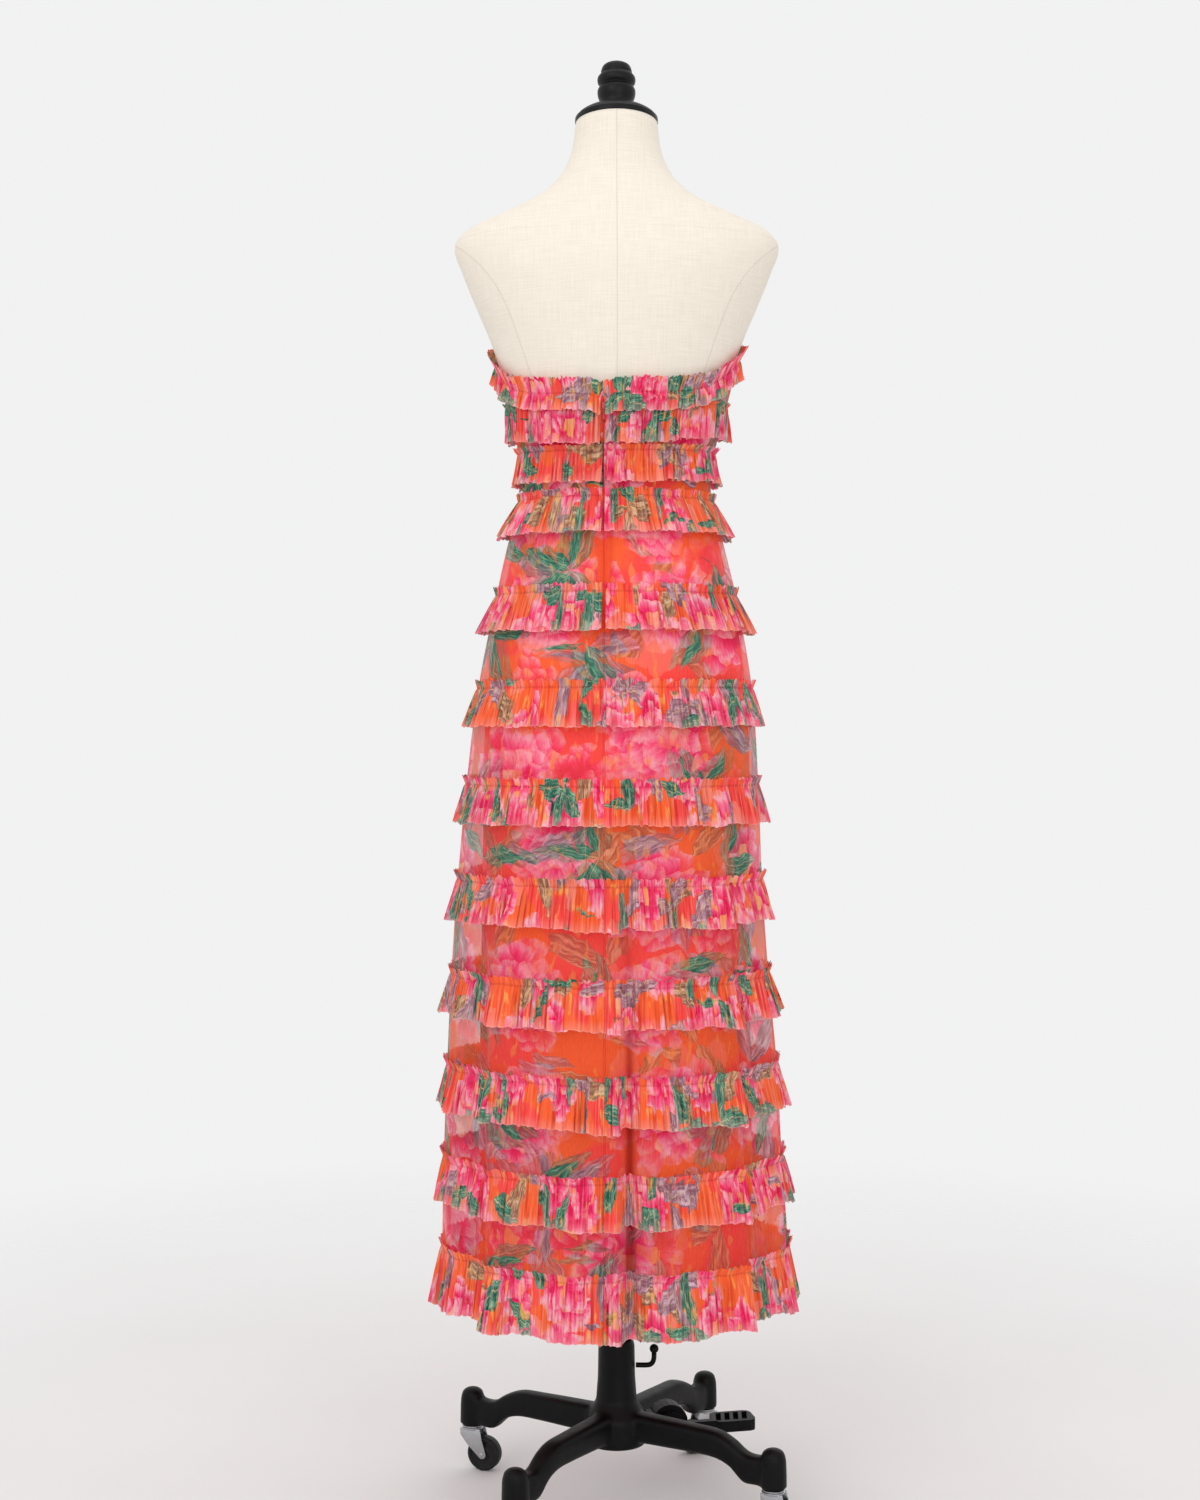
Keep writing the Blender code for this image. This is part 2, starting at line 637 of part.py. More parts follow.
def fork_body():
    """Folded fork in a caster's own frame: trail along +X, axle along Y, heights above the floor."""
    bm = bmesh.new()
    outer, inner, low, web, top = 0.0103, 0.0085, 0.0160, 0.0505, 0.0525
    outline = ((-outer, low), (-inner, low), (-inner, web), (inner, web),
               (inner, low), (outer, low), (outer, top), (-outer, top))
    back, front = [], []
    for y, z in outline:
        at_axle = z == low
        back.append(bm.verts.new((0.0115 if at_axle else -0.0125, y, z)))
        front.append(bm.verts.new((0.0205 if at_axle else 0.0125, y, z)))
    for here in range(len(outline)):
        there = (here + 1) % len(outline)
        bm.faces.new((back[here], back[there], front[there], front[here]))
    bm.faces.new(list(reversed(back)))
    bm.faces.new(front)
    bmesh.ops.recalc_face_normals(bm, faces=bm.faces)
    return bm


def add_casters(chrome, rubber):
    """Four swivelling forks, each with its axle, and a wheel on each axle."""
    upright = Matrix.Rotation(math.radians(90.0), 4, "X")
    centre_height = WHEEL_RADIUS * math.cos(math.pi / WHEEL_SIDES)
    half = WHEEL_WIDTH / 2
    pin = 0.0025
    bore = pin + RUNNING_GAP
    tyre = ((bore, -half), (0.0165, -half), (WHEEL_RADIUS, -half + 0.0030),
            (WHEEL_RADIUS, half - 0.0030), (0.0165, half), (bore, half))
    plate = ((0, 0.0518), (0.0135, 0.0518), (0.0135, 0.0545), (0.0070, 0.0557), (0, 0.0557))
    axle = ((0, -0.0113), (pin, -0.0113), (pin, 0.0113), (0, 0.0113))
    for name, turn in leg_places():
        spot = Matrix.Rotation(turn, 4, "Z") @ Vector((LEG_REACH, 0, 0))
        swivel = Matrix.Translation(spot) @ Matrix.Rotation(math.radians(TRAILS[name]), 4, "Z")
        fork = add_object(f"caster_fork_{name}", fork_body(), chrome, swivel, smooth=False)
        combine(fork, add_object(f"plate_shape_{name}", turned(plate, 12), chrome, swivel), "UNION")
        hub = swivel @ Matrix.Translation((CASTER_TRAIL, 0, centre_height)) @ upright
        combine(fork, add_object(f"axle_shape_{name}", turned(axle, 8), chrome, hub), "UNION")
        wheel = turned(tyre, WHEEL_SIDES, closed=True, start=math.pi / WHEEL_SIDES)
        add_object(f"caster_wheel_{name}", wheel, rubber, hub)


def main():
    clear_scene()
    net = finish_of("printed net", (0.86, 0.22, 0.20), 0.80)
    slip_cloth = finish_of("slip satin", (0.88, 0.20, 0.14), 0.65)
    tape = finish_of("zip tape", (0.75, 0.13, 0.11), 0.75)
    enamel = finish_of("enamelled slider", (0.60, 0.05, 0.06), 0.40, 0.3)
    linen = finish_of("linen cover", (0.82, 0.77, 0.68), 0.90)
    black = finish_of("black paint", (0.02, 0.02, 0.02), 0.40)
    iron = finish_of("painted iron", (0.025, 0.025, 0.028), 0.45, 0.2)
    chrome = finish_of("bright steel", (0.70, 0.71, 0.72), 0.20, 1.0)
    rubber = finish_of("black tyre", (0.02, 0.02, 0.02), 0.50)
    add_bodice(net)
    add_skirt(net)
    add_slip(slip_cloth)
    for index, ruffle in enumerate(RUFFLES):
        add_ruffle(index, ruffle, net)
    add_zip(tape, enamel)
    add_form(linen, black, chrome)
    add_base(iron)
    add_lever(iron)
    add_pedal(iron)
    add_casters(chrome, rubber)


main()
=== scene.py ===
"""Looks of a strapless dress of printed net with twelve gathered ruffles, worn by a limbless form.

Metres, +Z up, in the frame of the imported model. A turn of 0 is the centre front, 90 degrees is the
wearer's left side and 180 degrees is the centre back, with the zip, which the camera looks at.
"""
import math
from collections import namedtuple
from functools import lru_cache

import bmesh
import bpy
from mathutils import Matrix, Vector, noise


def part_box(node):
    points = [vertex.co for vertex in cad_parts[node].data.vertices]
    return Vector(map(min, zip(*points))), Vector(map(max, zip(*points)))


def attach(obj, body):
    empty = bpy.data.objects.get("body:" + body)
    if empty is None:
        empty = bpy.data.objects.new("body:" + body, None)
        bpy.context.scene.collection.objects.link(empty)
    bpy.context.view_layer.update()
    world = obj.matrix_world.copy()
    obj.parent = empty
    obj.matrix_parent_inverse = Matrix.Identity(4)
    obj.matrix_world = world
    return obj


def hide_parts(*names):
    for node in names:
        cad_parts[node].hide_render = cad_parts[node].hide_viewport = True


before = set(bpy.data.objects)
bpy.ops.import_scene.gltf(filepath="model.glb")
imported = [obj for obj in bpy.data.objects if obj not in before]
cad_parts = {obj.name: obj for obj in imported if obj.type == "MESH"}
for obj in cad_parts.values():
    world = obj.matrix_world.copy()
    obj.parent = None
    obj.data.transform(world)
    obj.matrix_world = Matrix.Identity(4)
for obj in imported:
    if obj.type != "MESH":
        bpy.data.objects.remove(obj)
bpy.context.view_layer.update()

Section = namedtuple("Section", "height left right middle back front")
Fold = namedtuple("Fold", "turn spread depth top")
Ruffle = namedtuple("Ruffle", "back side front drop head flare gathers")
LegRow = namedtuple("LegRow", "reach top bottom width")
Panel = namedtuple("Panel", "name first last count centre shift ridge")
Leaves = namedtuple("Leaves", "size shift count reach width share inks")
Flowers = namedtuple("Flowers", "size shift reach share")
Hard = namedtuple(
    "Hard", "name dark light size detail stretch contrast rough relief strength grain"
)
Fall = namedtuple("Fall", "line swing count bold slant ragged tongue")
Lamp = namedtuple("Lamp", "name size energy place target")


def rows(kind, *table):
    """Table whose rows have named columns."""
    return tuple(kind(*row) for row in table)


# Cloth and form, at the sizes of the solids
WAIST = 1.190
SEAM = 0.0003
SMALLEST_RADIUS = 0.080
ZIP_X = 0.015
ZIP_FOOT = 1.010
TAPE_WIDTH = 0.014
TAPE_IN = -0.0017
BODICE_EASE = 0.0036
SLIP_EASE = 0.0006
NECK_TILT = math.radians(6.5)
NECK_TOP = 1.6300
BUST_HEIGHT = 1.315
BUST_SPREAD = 0.048
BUST_TURN = math.radians(30.0)
BUST_WIDTH = math.radians(26.0)
BUST_OUT = 0.016

# Dress form: half widths to each side, y of the widest line, depths behind and before that line
TORSO = rows(
    Section,
    (0.76, 0.145, 0.145, -0.003, 0.094, 0.092), (0.8, 0.152, 0.152, -0.002, 0.104, 0.098),
    (0.86, 0.156, 0.156, 0.0, 0.113, 0.102), (0.95, 0.1525, 0.1525, 0.002, 0.114, 0.104),
    (1.03, 0.1425, 0.1425, 0.001, 0.104, 0.103), (1.11, 0.125, 0.125, -0.002, 0.091, 0.096),
    (1.185, 0.109, 0.109, -0.004, 0.083, 0.088), (1.21, 0.1075, 0.1075, -0.005, 0.083, 0.089),
    (1.25, 0.114, 0.114, -0.005, 0.087, 0.097), (1.29, 0.125, 0.125, -0.003, 0.092, 0.107),
    (1.33, 0.135, 0.135, 0.0, 0.097, 0.112), (1.37, 0.148, 0.148, 0.002, 0.101, 0.108),
    (1.41, 0.165, 0.165, 0.004, 0.101, 0.098), (1.45, 0.181, 0.181, 0.006, 0.096, 0.084),
    (1.48, 0.19, 0.19, 0.006, 0.085, 0.07), (1.5, 0.175, 0.175, 0.005, 0.075, 0.061),
    (1.516, 0.143, 0.143, 0.003, 0.067, 0.056), (1.533, 0.107, 0.107, 0.0, 0.06, 0.053),
    (1.549, 0.083, 0.083, -0.004, 0.056, 0.052), (1.567, 0.0665, 0.0665, -0.009, 0.052, 0.051),
    (1.595, 0.0535, 0.0535, -0.013, 0.05, 0.05), (1.6297, 0.0485, 0.0485, -0.015, 0.0485, 0.0485),
)
FORM_COLUMNS = 168
FORM_ROWS = 150

# Net skirt
SKIRT = rows(
    Section,
    (0.256, 0.2035, 0.2035, 0.0, 0.193, 0.187), (0.307, 0.2035, 0.2025, 0.0, 0.191, 0.185),
    (0.414, 0.202, 0.195, 0.0, 0.185, 0.178), (0.522, 0.1985, 0.189, 0.0, 0.177, 0.169),
    (0.629, 0.194, 0.179, 0.0, 0.167, 0.158), (0.74, 0.187, 0.1715, 0.0, 0.155, 0.147),
    (0.851, 0.177, 0.167, 0.0, 0.142, 0.135), (0.963, 0.163, 0.1595, 0.001, 0.128, 0.122),
    (1.072, 0.1415, 0.1405, 0.0, 0.107, 0.111), (1.125, 0.13, 0.128, -0.002, 0.097, 0.103),
    (1.182, 0.115, 0.114, -0.004, 0.0895, 0.092), (WAIST, 0.1125, 0.1125, -0.004, 0.088, 0.0915),
)

# Slip below the hips, where it hangs clear of the form
SLIP_HEM = Section(0.2880, 0.1610, 0.1610, 0.002, 0.128, 0.116)
SLIP_HIP = 0.8600
SLIP_TOP = 1.1850

# Large folds of the skirt: turn, half spread, depth at the hem and the height where each starts
FOLDS = rows(
    Fold,
    (186.0, 15.0, 0.021, 0.88), (242.0, 15.0, 0.012, 0.82), (214.0, 13.0, 0.008, 0.58),
    (157.0, 12.0, 0.008, 0.62), (127.0, 15.0, 0.013, 0.8), (64.0, 14.0, 0.01, 0.72),
    (22.0, 15.0, 0.013, 0.86), (338.0, 13.0, 0.009, 0.66), (300.0, 15.0, 0.012, 0.78),
)

# Narrow soft creases of the net between the large folds; a negative depth is a ridge
CREASES = rows(
    Fold,
    (183.0, 3.6, -0.0085, 0.97), (188.8, 4.2, 0.013, 0.97), (194.5, 2.6, -0.0016, 0.9),
    (199.0, 2.4, -0.0022, 0.8), (206.0, 3.0, 0.0026, 1.06), (220.0, 2.6, 0.0024, 0.92),
    (229.5, 3.2, -0.0065, 1.03), (234.8, 3.8, 0.009, 1.03), (249.0, 3.0, 0.0038, 0.9),
    (257.0, 2.2, -0.0028, 0.7), (266.0, 3.6, 0.003, 1.0), (175.0, 3.4, 0.0024, 0.98),
    (169.0, 2.6, -0.0022, 0.86), (163.0, 2.4, -0.0026, 0.74), (150.0, 3.0, 0.003, 0.9),
    (138.5, 2.6, -0.004, 1.02), (133.5, 3.2, 0.0058, 1.0), (119.0, 2.4, -0.003, 0.88),
    (110.0, 3.4, 0.0036, 1.05), (98.0, 2.6, -0.0026, 0.76), (88.0, 3.0, 0.0034, 0.94),
    (76.0, 2.6, -0.003, 0.82), (57.0, 3.4, 0.003, 1.0), (46.0, 2.4, -0.0026, 0.7),
    (35.0, 3.0, 0.0034, 0.92), (14.0, 2.6, -0.0028, 0.86), (3.0, 3.2, 0.003, 0.98),
    (352.0, 2.4, -0.0026, 0.78), (344.0, 3.0, 0.0036, 1.03), (327.0, 2.6, -0.003, 0.9),
    (316.0, 3.2, 0.003, 0.72), (307.0, 2.4, -0.003, 0.96), (291.0, 3.4, 0.0038, 0.88),
    (281.0, 2.6, -0.0028, 1.01),
)

# Top edge of the bodice: turn from the centre front and height, alike on both sides
NECKLINE = (
    (0.0, 1.355), (28.0, 1.366), (60.0, 1.359), (90.0, 1.346), (122.0, 1.312), (145.0, 1.302),
    (170.0, 1.299), (180.0, 1.293),
)

# Panels: turns where each starts and ends, columns, where its print is laid from and how far it is
# shifted, and the lip that its folded edge makes beside the zip
BODICE_PANELS = rows(
    Panel,
    ("bodice_front", -90, 90, 110, "middle", (0.0, 1.9), 0.0),
    ("bodice_back_left", 90, 180, 60, "last", (0.02, 1.2), 0.0010),
    ("bodice_back_right", 180, 270, 60, "first", (0.55, 1.6), 0.0010),
)
SKIRT_PANELS = rows(
    Panel,
    ("skirt_front", -90, 90, 190, "middle", (0.9, 0.068), 0.0),
    ("skirt_back_left", 90, 180, 100, "last", (0.2, 0.318), 0.0008),
    ("skirt_back_right", 180, 270, 100, "first", (0.2, 0.318), 0.0008),
)
SLIP_PANELS = rows(
    Panel,
    ("slip_front", -90, 90, 120, "middle", (0.9, 0.1), 0.0),
    ("slip_back", 90, 270, 120, "middle", (0.2, 0.35), 0.0),
)
BODICE_ROWS = 34
SKIRT_ROWS = 96
SLIP_ROWS = 60
EDGE_STEPS = (0.0006, 0.0014, 0.0024, 0.0038)
EDGE_RADIUS = 0.15
LIP_INSET = 0.0016
LIP_WIDTH = 0.0012

# Ruffles from the top: heights of the gathering line, drop, head, flare and number of gathers
RUFFLES = rows(
    Ruffle,
    (None, None, None, 0.02, 0.017, 0.0075, 104),
    (1.28, 1.293, 1.322, 0.04, 0.0035, 0.009, 96),
    (1.234, 1.238, 1.25, 0.037, 0.006, 0.009, 92),
    (1.182, 1.182, 1.182, 0.042, 0.0085, 0.0105, 96),
    (1.072, 1.072, 1.072, 0.044, 0.009, 0.01, 106),
    (0.963, 0.963, 0.963, 0.044, 0.009, 0.008, 116),
    (0.851, 0.851, 0.851, 0.044, 0.009, 0.007, 122),
    (0.74, 0.74, 0.74, 0.046, 0.009, 0.008, 128),
    (0.629, 0.629, 0.629, 0.045, 0.009, 0.007, 132),
    (0.522, 0.522, 0.522, 0.047, 0.009, 0.008, 136),
    (0.414, 0.414, 0.414, 0.047, 0.009, 0.008, 140),
    (0.307, 0.307, 0.307, 0.062, 0.009, 0.0085, 140),
)
BODICE_RUFFLES = 3
OPEN_RUFFLES = 5
WAVE_COLUMNS = 48
WAVES = 16
WAVE_OUT = 0.0040
HEAD_OUT = 0.0030
RUNNING_GAP = 0.0004
ZIP_CLEAR = (0.0026, 0.0026, 0.0012, 0.0011, 0.0011)
WAIST_RADIUS = 0.105
GATHER_STEPS = 8
GATHER_DEPTH = 0.0015
FRINGE = 0.20
TOP_FRINGE = 0.10
CLOSING_REACH = 0.06
SAGGING_RUFFLE = 7
SAGS = ((186.4, 22.0, 0.0060), (232.4, 18.0, 0.0045))
DIP = 0.0012
DIP_TURN = 177.0
DIP_REACH = 15.0
EDGE_INSET = 0.002
DEEPEST_CREASE = 0.0090
RUFFLE_ROWS = (1.0, 0.93, 0.82, 0.7, 0.57, 0.44, 0.32, 0.22, 0.13, 0.05)
HEAD_ROWS = (0.0, 0.2, 0.45, 0.72, 1.0)

# Cap and finial, turned from these radii and heights
CAP_HEIGHT = 0.0220
CAP_RIM = ((0.0484, 0), (0.0490, 0.0008), (0.0490, 0.0062))
CAP_DOME = ((0.0472, 0.0078), (0.0445, 0.0108), (0.0350, 0.0165), (0.0195, 0.0215))
FINIAL = (
    ((0.0192, 0.0004), (0.0196, 0.0050), (0.0222, 0.0125), (0.0222, 0.0195), (0.0186, 0.0242)),
    ((0.0186, 0.0242), (0.0222, 0.0285), (0.0222, 0.0345), (0.0180, 0.0392)),
    ((0.0184, 0.0400), (0.0182, 0.0430), (0.0160, 0.0485), (0.0095, 0.0522), (0.0, 0.0535)),
)

# Stand; turned parts by radii and heights
HUB = (
    (0, 0.0700), (0.0340, 0.0700), (0.0362, 0.0740), (0.0362, 0.1020), (0.0300, 0.1120),
    (0.0242, 0.1220), (0.0222, 0.1500), (0.0216, 0.1880), (0.0200, 0.1893), (0.0200, 0.1950),
    (0, 0.1950),
)
FOOT = (
    (0, 0.0560), (0.0155, 0.0560), (0.0153, 0.0720), (0.0148, 0.0880), (0.0125, 0.0965),
    (0.0070, 0.1005), (0, 0.1010),
)
TUBE_FOOT = 0.1138
TUBE_TOP = 0.6700
TUBE_BORE = 0.0131
TUBE_RIM = 0.0175
COLLAR_FOOT = 0.1954
COLLAR_TOP = 0.2092
COLLAR_RINGS = (0.1956, 0.2030)
COLLAR_RING = ((0.0186, 0.0), (0.0196, 0.0012), (0.0196, 0.0044), (0.0186, 0.0056))
LEVER_HEIGHT = 0.1620
LEVER_RADIUS = 0.0030
LEVER_STEPS = 24
LEVER_BALL = 0.0054
LEVER_END = 0.0194
LEVER_BENDS = (
    (0.0, -0.0229, 0.0), (1.0, -0.0370, 0.0), (2.0, -0.0420, 0.0022), (3.0, -0.0442, 0.0070),
    (4.0, -0.0446, 0.0140),
)
CHEEK_THICKNESS = 0.0016
CHEEK_PLACES = (0.0103, -0.0087)
CHEEK_FOOT = 0.0052
CHEEK_START = -150.0
CHEEK_STEPS = 8
CHEEK_AXLE = 0.0211
CHEEK_SIDE = (
    (0.0150, 0.0420), (0.0128, 0.0520), (-0.0128, 0.0520), (-0.0124, 0.0440), (-0.0040, 0.0330),
)
RACES = (
    (0, 0.0504), (0.0128, 0.0504), (0.0135, 0.0518), (0.0135, 0.0528), (0.0118, 0.0532),
    (0.0118, 0.0537), (0.0128, 0.0541), (0.0128, 0.0550), (0.0070, 0.0557), (0, 0.0557),
)
AXLE = ((0, -0.0113), (0.0026, -0.0113), (0.0026, 0.0113), (0, 0.0113))
TREAD = (
    (0.0030, 0.0012), (0.0072, 0.0012), (0.0080, 0.0022), (0.0150, 0.0022), (0.0162, 0.0),
    (0.0192, 0.0), (0.0206, 0.0020), (0.0210, 0.0042),
)
LEG_REACH = 0.210
LEG_TURN = math.radians(57.4)
WHEEL_HEIGHT = 0.02109
WHEEL_WIDTH = 0.0150
CASTER_TRAIL = 0.016
TRAILS = {"a": 236.0, "b": 160.0, "c": 28.0, "d": 160.0}
LEG_STEPS = 40
LEG_SIDES = 24
LEG_ROUNDING = 0.55
LEG = rows(
    LegRow,
    (0.0, 0.112, 0.076, 0.03), (0.06, 0.111, 0.078, 0.0285), (0.11, 0.11, 0.079, 0.0265),
    (0.138, 0.1085, 0.078, 0.0255), (0.158, 0.101, 0.071, 0.0245), (0.174, 0.091, 0.057, 0.0235),
    (0.188, 0.089, 0.0564, 0.0235), (0.206, 0.093, 0.0564, 0.0195),
)

# Seams of the form's cover at the shoulder blades: height and distance from the centre
BLADE_SEAM = (
    (0.76, 0.070), (1.00, 0.076), (1.20, 0.078), (1.30, 0.093), (1.355, 0.110), (1.41, 0.131),
    (1.448, 0.156), (1.480, 0.189),
)
BLADE_TOP = 1.486
NO_SEAM = 0.03
SIDE_SEAM = 0.004

# Studio: the camera looks at the back, a little downwards, from the middle of the dress
LENS = 51.84
SENSOR = 36.0
CAMERA_PLACE = (0.0195, 2.549, 0.926)
CAMERA_TURN = (math.radians(90.0 - 0.796), 0.0, math.radians(180.0))
BACKDROP = (0.885, 0.885, 0.890, 1.0)
LAMPS = rows(
    Lamp,
    ("key", 2.2, 27.0, (1.7, 3.0, 2.6), (0, 0, 1.15)),
    ("fill", 2.4, 24.0, (-1.0, 3.6, 1.5), (0, 0, 1.1)),
    ("front", 2.4, 8.0, (-1.2, -3.0, 2.4), (0, 0, 0.9)),
    ("top", 2.0, 8.0, (0, 0.3, 3.4), (0, 0, 0.8)),
)


# Materials

def ink(red, green, blue):
    """Linear colour from the 0 to 255 numbers that a screen shows."""
    def linear(part):
        part /= 255.0
        return part / 12.92 if part <= 0.04045 else ((part + 0.055) / 1.055) ** 2.4
    return (linear(red), linear(green), linear(blue), 1.0)


def sign(operation, swapped=False):
    """Arithmetic sign between a Value and another number, as a Math node."""
    def work(self, other):
        return self.paint.math(operation, *((other, self) if swapped else (self, other)))
    return work


class Value:
    """Number in a material's tree, with arithmetic that adds the nodes it needs."""

    def __init__(self, paint, socket):
        self.paint = paint
        self.socket = socket

    __add__ = __radd__ = sign("ADD")
    __mul__ = __rmul__ = sign("MULTIPLY")
    __sub__, __rsub__ = sign("SUBTRACT"), sign("SUBTRACT", swapped=True)
    __truediv__, __rtruediv__ = sign("DIVIDE"), sign("DIVIDE", swapped=True)
    __gt__, __lt__ = sign("GREATER_THAN"), sign("LESS_THAN")

    def of(self, operation, *others, clamp=False):
        return self.paint.math(operation, self, *others, clamp=clamp)

    def __abs__(self):
        return self.of("ABSOLUTE")

    def kept(self):
        """The same number, held from 0 to 1."""
        return self.of("ADD", 0.0, clamp=True)


class Paint:
    """Material that is being made."""

    def __init__(self, name):
        self.material = bpy.data.materials.new(name)
        self.material.use_nodes = True
        self.tree = self.material.node_tree
        self.tree.nodes.clear()

    def node(self, kind, settings=(), sockets=()):
        """Node of a type: its settings first, then the values or links of its sockets."""
        made = self.tree.nodes.new(kind)
        for key, value in dict(settings).items():
            if key == "stops":
                ramp = made.color_ramp
                while len(ramp.elements) < len(value):
                    ramp.elements.new(0.5)
                for element, (place, colour) in zip(ramp.elements, value):
                    element.position = place
                    element.color = colour
            else:
                setattr(made, key, value)
        for key, value in dict(sockets).items():
            if isinstance(value, Value):
                value = value.socket
            if isinstance(value, bpy.types.NodeSocket):
                self.tree.links.new(value, made.inputs[key])
            else:
                made.inputs[key].default_value = value
        return made

    def math(self, operation, *numbers, clamp=False):
        made = self.node(
            "ShaderNodeMath", {"operation": operation, "use_clamp": clamp}, enumerate(numbers)
        )
        return Value(self, made.outputs[0])

    def vector(self, x, y, z=0.0):
        return self.node("ShaderNodeCombineXYZ", (), {"X": x, "Y": y, "Z": z}).outputs[0]

    def parts(self, vector):
        made = self.node("ShaderNodeSeparateXYZ", (), {0: vector})
        return [Value(self, socket) for socket in made.outputs]

    def mix(self, share, first, second, blend="MIX"):
        """Colour between two others, or the first blended with the second."""
        made = self.node(
            "ShaderNodeMix", {"data_type": "RGBA", "blend_type": blend},
            {0: share, 6: first, 7: second},
        )
        return made.outputs[2]

    def ramp(self, value, stops):
        return self.node("ShaderNodeValToRGB", {"stops": stops}, {"Fac": value}).outputs[0]

    def solid_noise(self, vector, size, detail=2.0, dimensions="3D"):
        """Soft patches of a size in metres, from 0 to 1."""
        made = self.node(
            "ShaderNodeTexNoise", {"noise_dimensions": dimensions},
            {"Vector": vector, "Scale": 1.0 / size, "Detail": detail},
        )
        return Value(self, made.outputs["Fac"])

    def noise(self, x, y, size, detail=2.0, shift=0.0):
        return self.solid_noise(self.vector(x + shift, y + 0.63 * shift), size, detail, "2D")

    def place(self):
        """Object coordinates of the point that is shaded."""
        return self.node("ShaderNodeTexCoord").outputs["Object"]

    def flat_place(self):
        """Where the point lies on the flat cloth, in metres."""
        return self.parts(self.node("ShaderNodeUVMap", {"uv_map": "flat"}).outputs[0])[:2]

    def seam_gaps(self):
        """Distances from up to three sewn lines, in metres."""
        made = self.node("ShaderNodeAttribute", {"attribute_name": "seams"})
        return [abs(part) for part in self.parts(made.outputs["Vector"])]

    def crease_shade(self):
        """How deep in a crease the point lies, from 0 to 1."""
        made = self.node("ShaderNodeAttribute", {"attribute_name": "crease"})
        return Value(self, made.outputs["Fac"])

    def bump(self, height, distance, strength=1.0):
        made = self.node(
            "ShaderNodeBump", (), {"Height": height, "Distance": distance, "Strength": strength}
        )
        return made.outputs[0]

    def surface(self, **sockets):
        names = {key.replace("_", " "): value for key, value in sockets.items()}
        return self.node("ShaderNodeBsdfPrincipled", (), names).outputs[0]

    def over_air(self, covered, surface):
        """Surface that covers a share of what lies behind it."""
        clear = self.node("ShaderNodeBsdfTransparent").outputs[0]
        return self.node("ShaderNodeMixShader", (), {0: covered, 1: clear, 2: surface}).outputs[0]

    def finish(self, surface):
        self.node("ShaderNodeOutputMaterial", (), {"Surface": surface})
        return self.material


ORANGE = ink(255, 106, 50)
CORAL = ink(255, 80, 72)
LIGHT_CORAL = ink(255, 140, 118)
MAGENTA = ink(234, 14, 90)
HOT_PINK = ink(252, 58, 120)
PINK = ink(253, 118, 156)
PALE_PINK = ink(255, 188, 202)
FLAME = ink(255, 184, 92)
TEAL = ink(72, 160, 126)
DEEP_TEAL = ink(36, 98, 84)
PALE_TEAL = ink(160, 206, 172)
CREAM_VEIN = ink(240, 224, 170)
MAUVE = ink(192, 150, 166)
DEEP_MAUVE = ink(142, 98, 112)
PALE_MAUVE = ink(226, 200, 212)
TAUPE = ink(206, 164, 124)
DEEP_TAUPE = ink(140, 96, 70)
PALE_TAUPE = ink(238, 208, 168)
GOLD_VEIN = ink(246, 212, 124)
# Painted shade tones, multiplied into fold valleys, creases and sewn lines, and a pale pink painted
# as a highlight on fold crests and laid towards the ruffle hems
PAINTED_SHADE = ink(206, 120, 120)
PAINTED_CREASE_SHADE = ink(168, 96, 96)
HIGHLIGHT_AND_HEM_TINT = ink(255, 214, 208)
LINEN = ink(220, 210, 195)
LIGHT_LINEN = ink(236, 228, 215)
WARM_LINEN = ink(226, 217, 203)
SEAM_LINEN = ink(170, 158, 140)
TAPE_RED = ink(236, 62, 40)
TAPE_ORANGE = ink(250, 96, 56)
FLOOR = ink(222, 219, 218)
LIGHT_FLOOR = ink(230, 228, 227)
NET_PITCH = 0.0013
PETAL_TONES = (
    (0.00, MAGENTA), (0.22, HOT_PINK), (0.46, PINK), (0.72, PALE_PINK), (1.00, LIGHT_CORAL),
)

# Layers of the print, in metres: how far apart they are, how large and how many of them show
LARGE_FLOWERS = Flowers(0.142, 5.9, 0.056, 0.86)
SMALL_FLOWERS = Flowers(0.124, 21.3, 0.040, 0.66)
TAUPE_LEAVES = Leaves(
    0.136, 2.7, 4, 0.088, 0.0150, 0.56, (PALE_TAUPE, TAUPE, DEEP_TAUPE, GOLD_VEIN)
)
MAUVE_LEAVES = Leaves(
    0.142, 12.4, 5, 0.082, 0.0140, 0.38, (PALE_MAUVE, MAUVE, DEEP_MAUVE, CREAM_VEIN)
)
TEAL_LEAVES = Leaves(
    0.130, 17.8, 5, 0.064, 0.0120, 0.42, (PALE_TEAL, TEAL, DEEP_TEAL, CREAM_VEIN)
)

# Hard finishes: darkest and lightest tone, size and detail of the cloudy pattern, how far it is
# drawn upwards, contrast, gloss and what the pattern adds to it, relief and its strength, and the
# grain: its size, its share and the pattern's share
SATIN = Hard("black_satin", ink(8, 8, 9), ink(18, 18, 20), 0.02, 3.0, 1.0, 1.0, (0.34, 0.16),
             0.00008, 0.5, (0.0012, 1.0, 0.0))
IRON = Hard("painted_iron", ink(5, 5, 6), ink(15, 15, 16), 0.012, 3.0, 1.0, 1.0, (0.34, 0.20),
            0.00035, 0.55, (0.0011, 0.5, 1.0))
STEEL = Hard("bright_steel", ink(150, 151, 154), ink(196, 197, 200), 0.004, 3.0, 9.0, 1.0,
             (0.16, 0.16), 0.00006, 0.4, None)
RUBBER = Hard("black_tyre", ink(14, 14, 15), ink(44, 43, 42), 0.003, 4.0, 1.0, 2.0, (0.42, 0.25),
              0.0002, 0.5, None)
ENAMEL = Hard("zip_enamel", ink(150, 14, 26), ink(196, 30, 40), 0.0015, 3.0, 1.0, 1.0,
              (0.28, 0.2), 0.00005, 0.4, None)


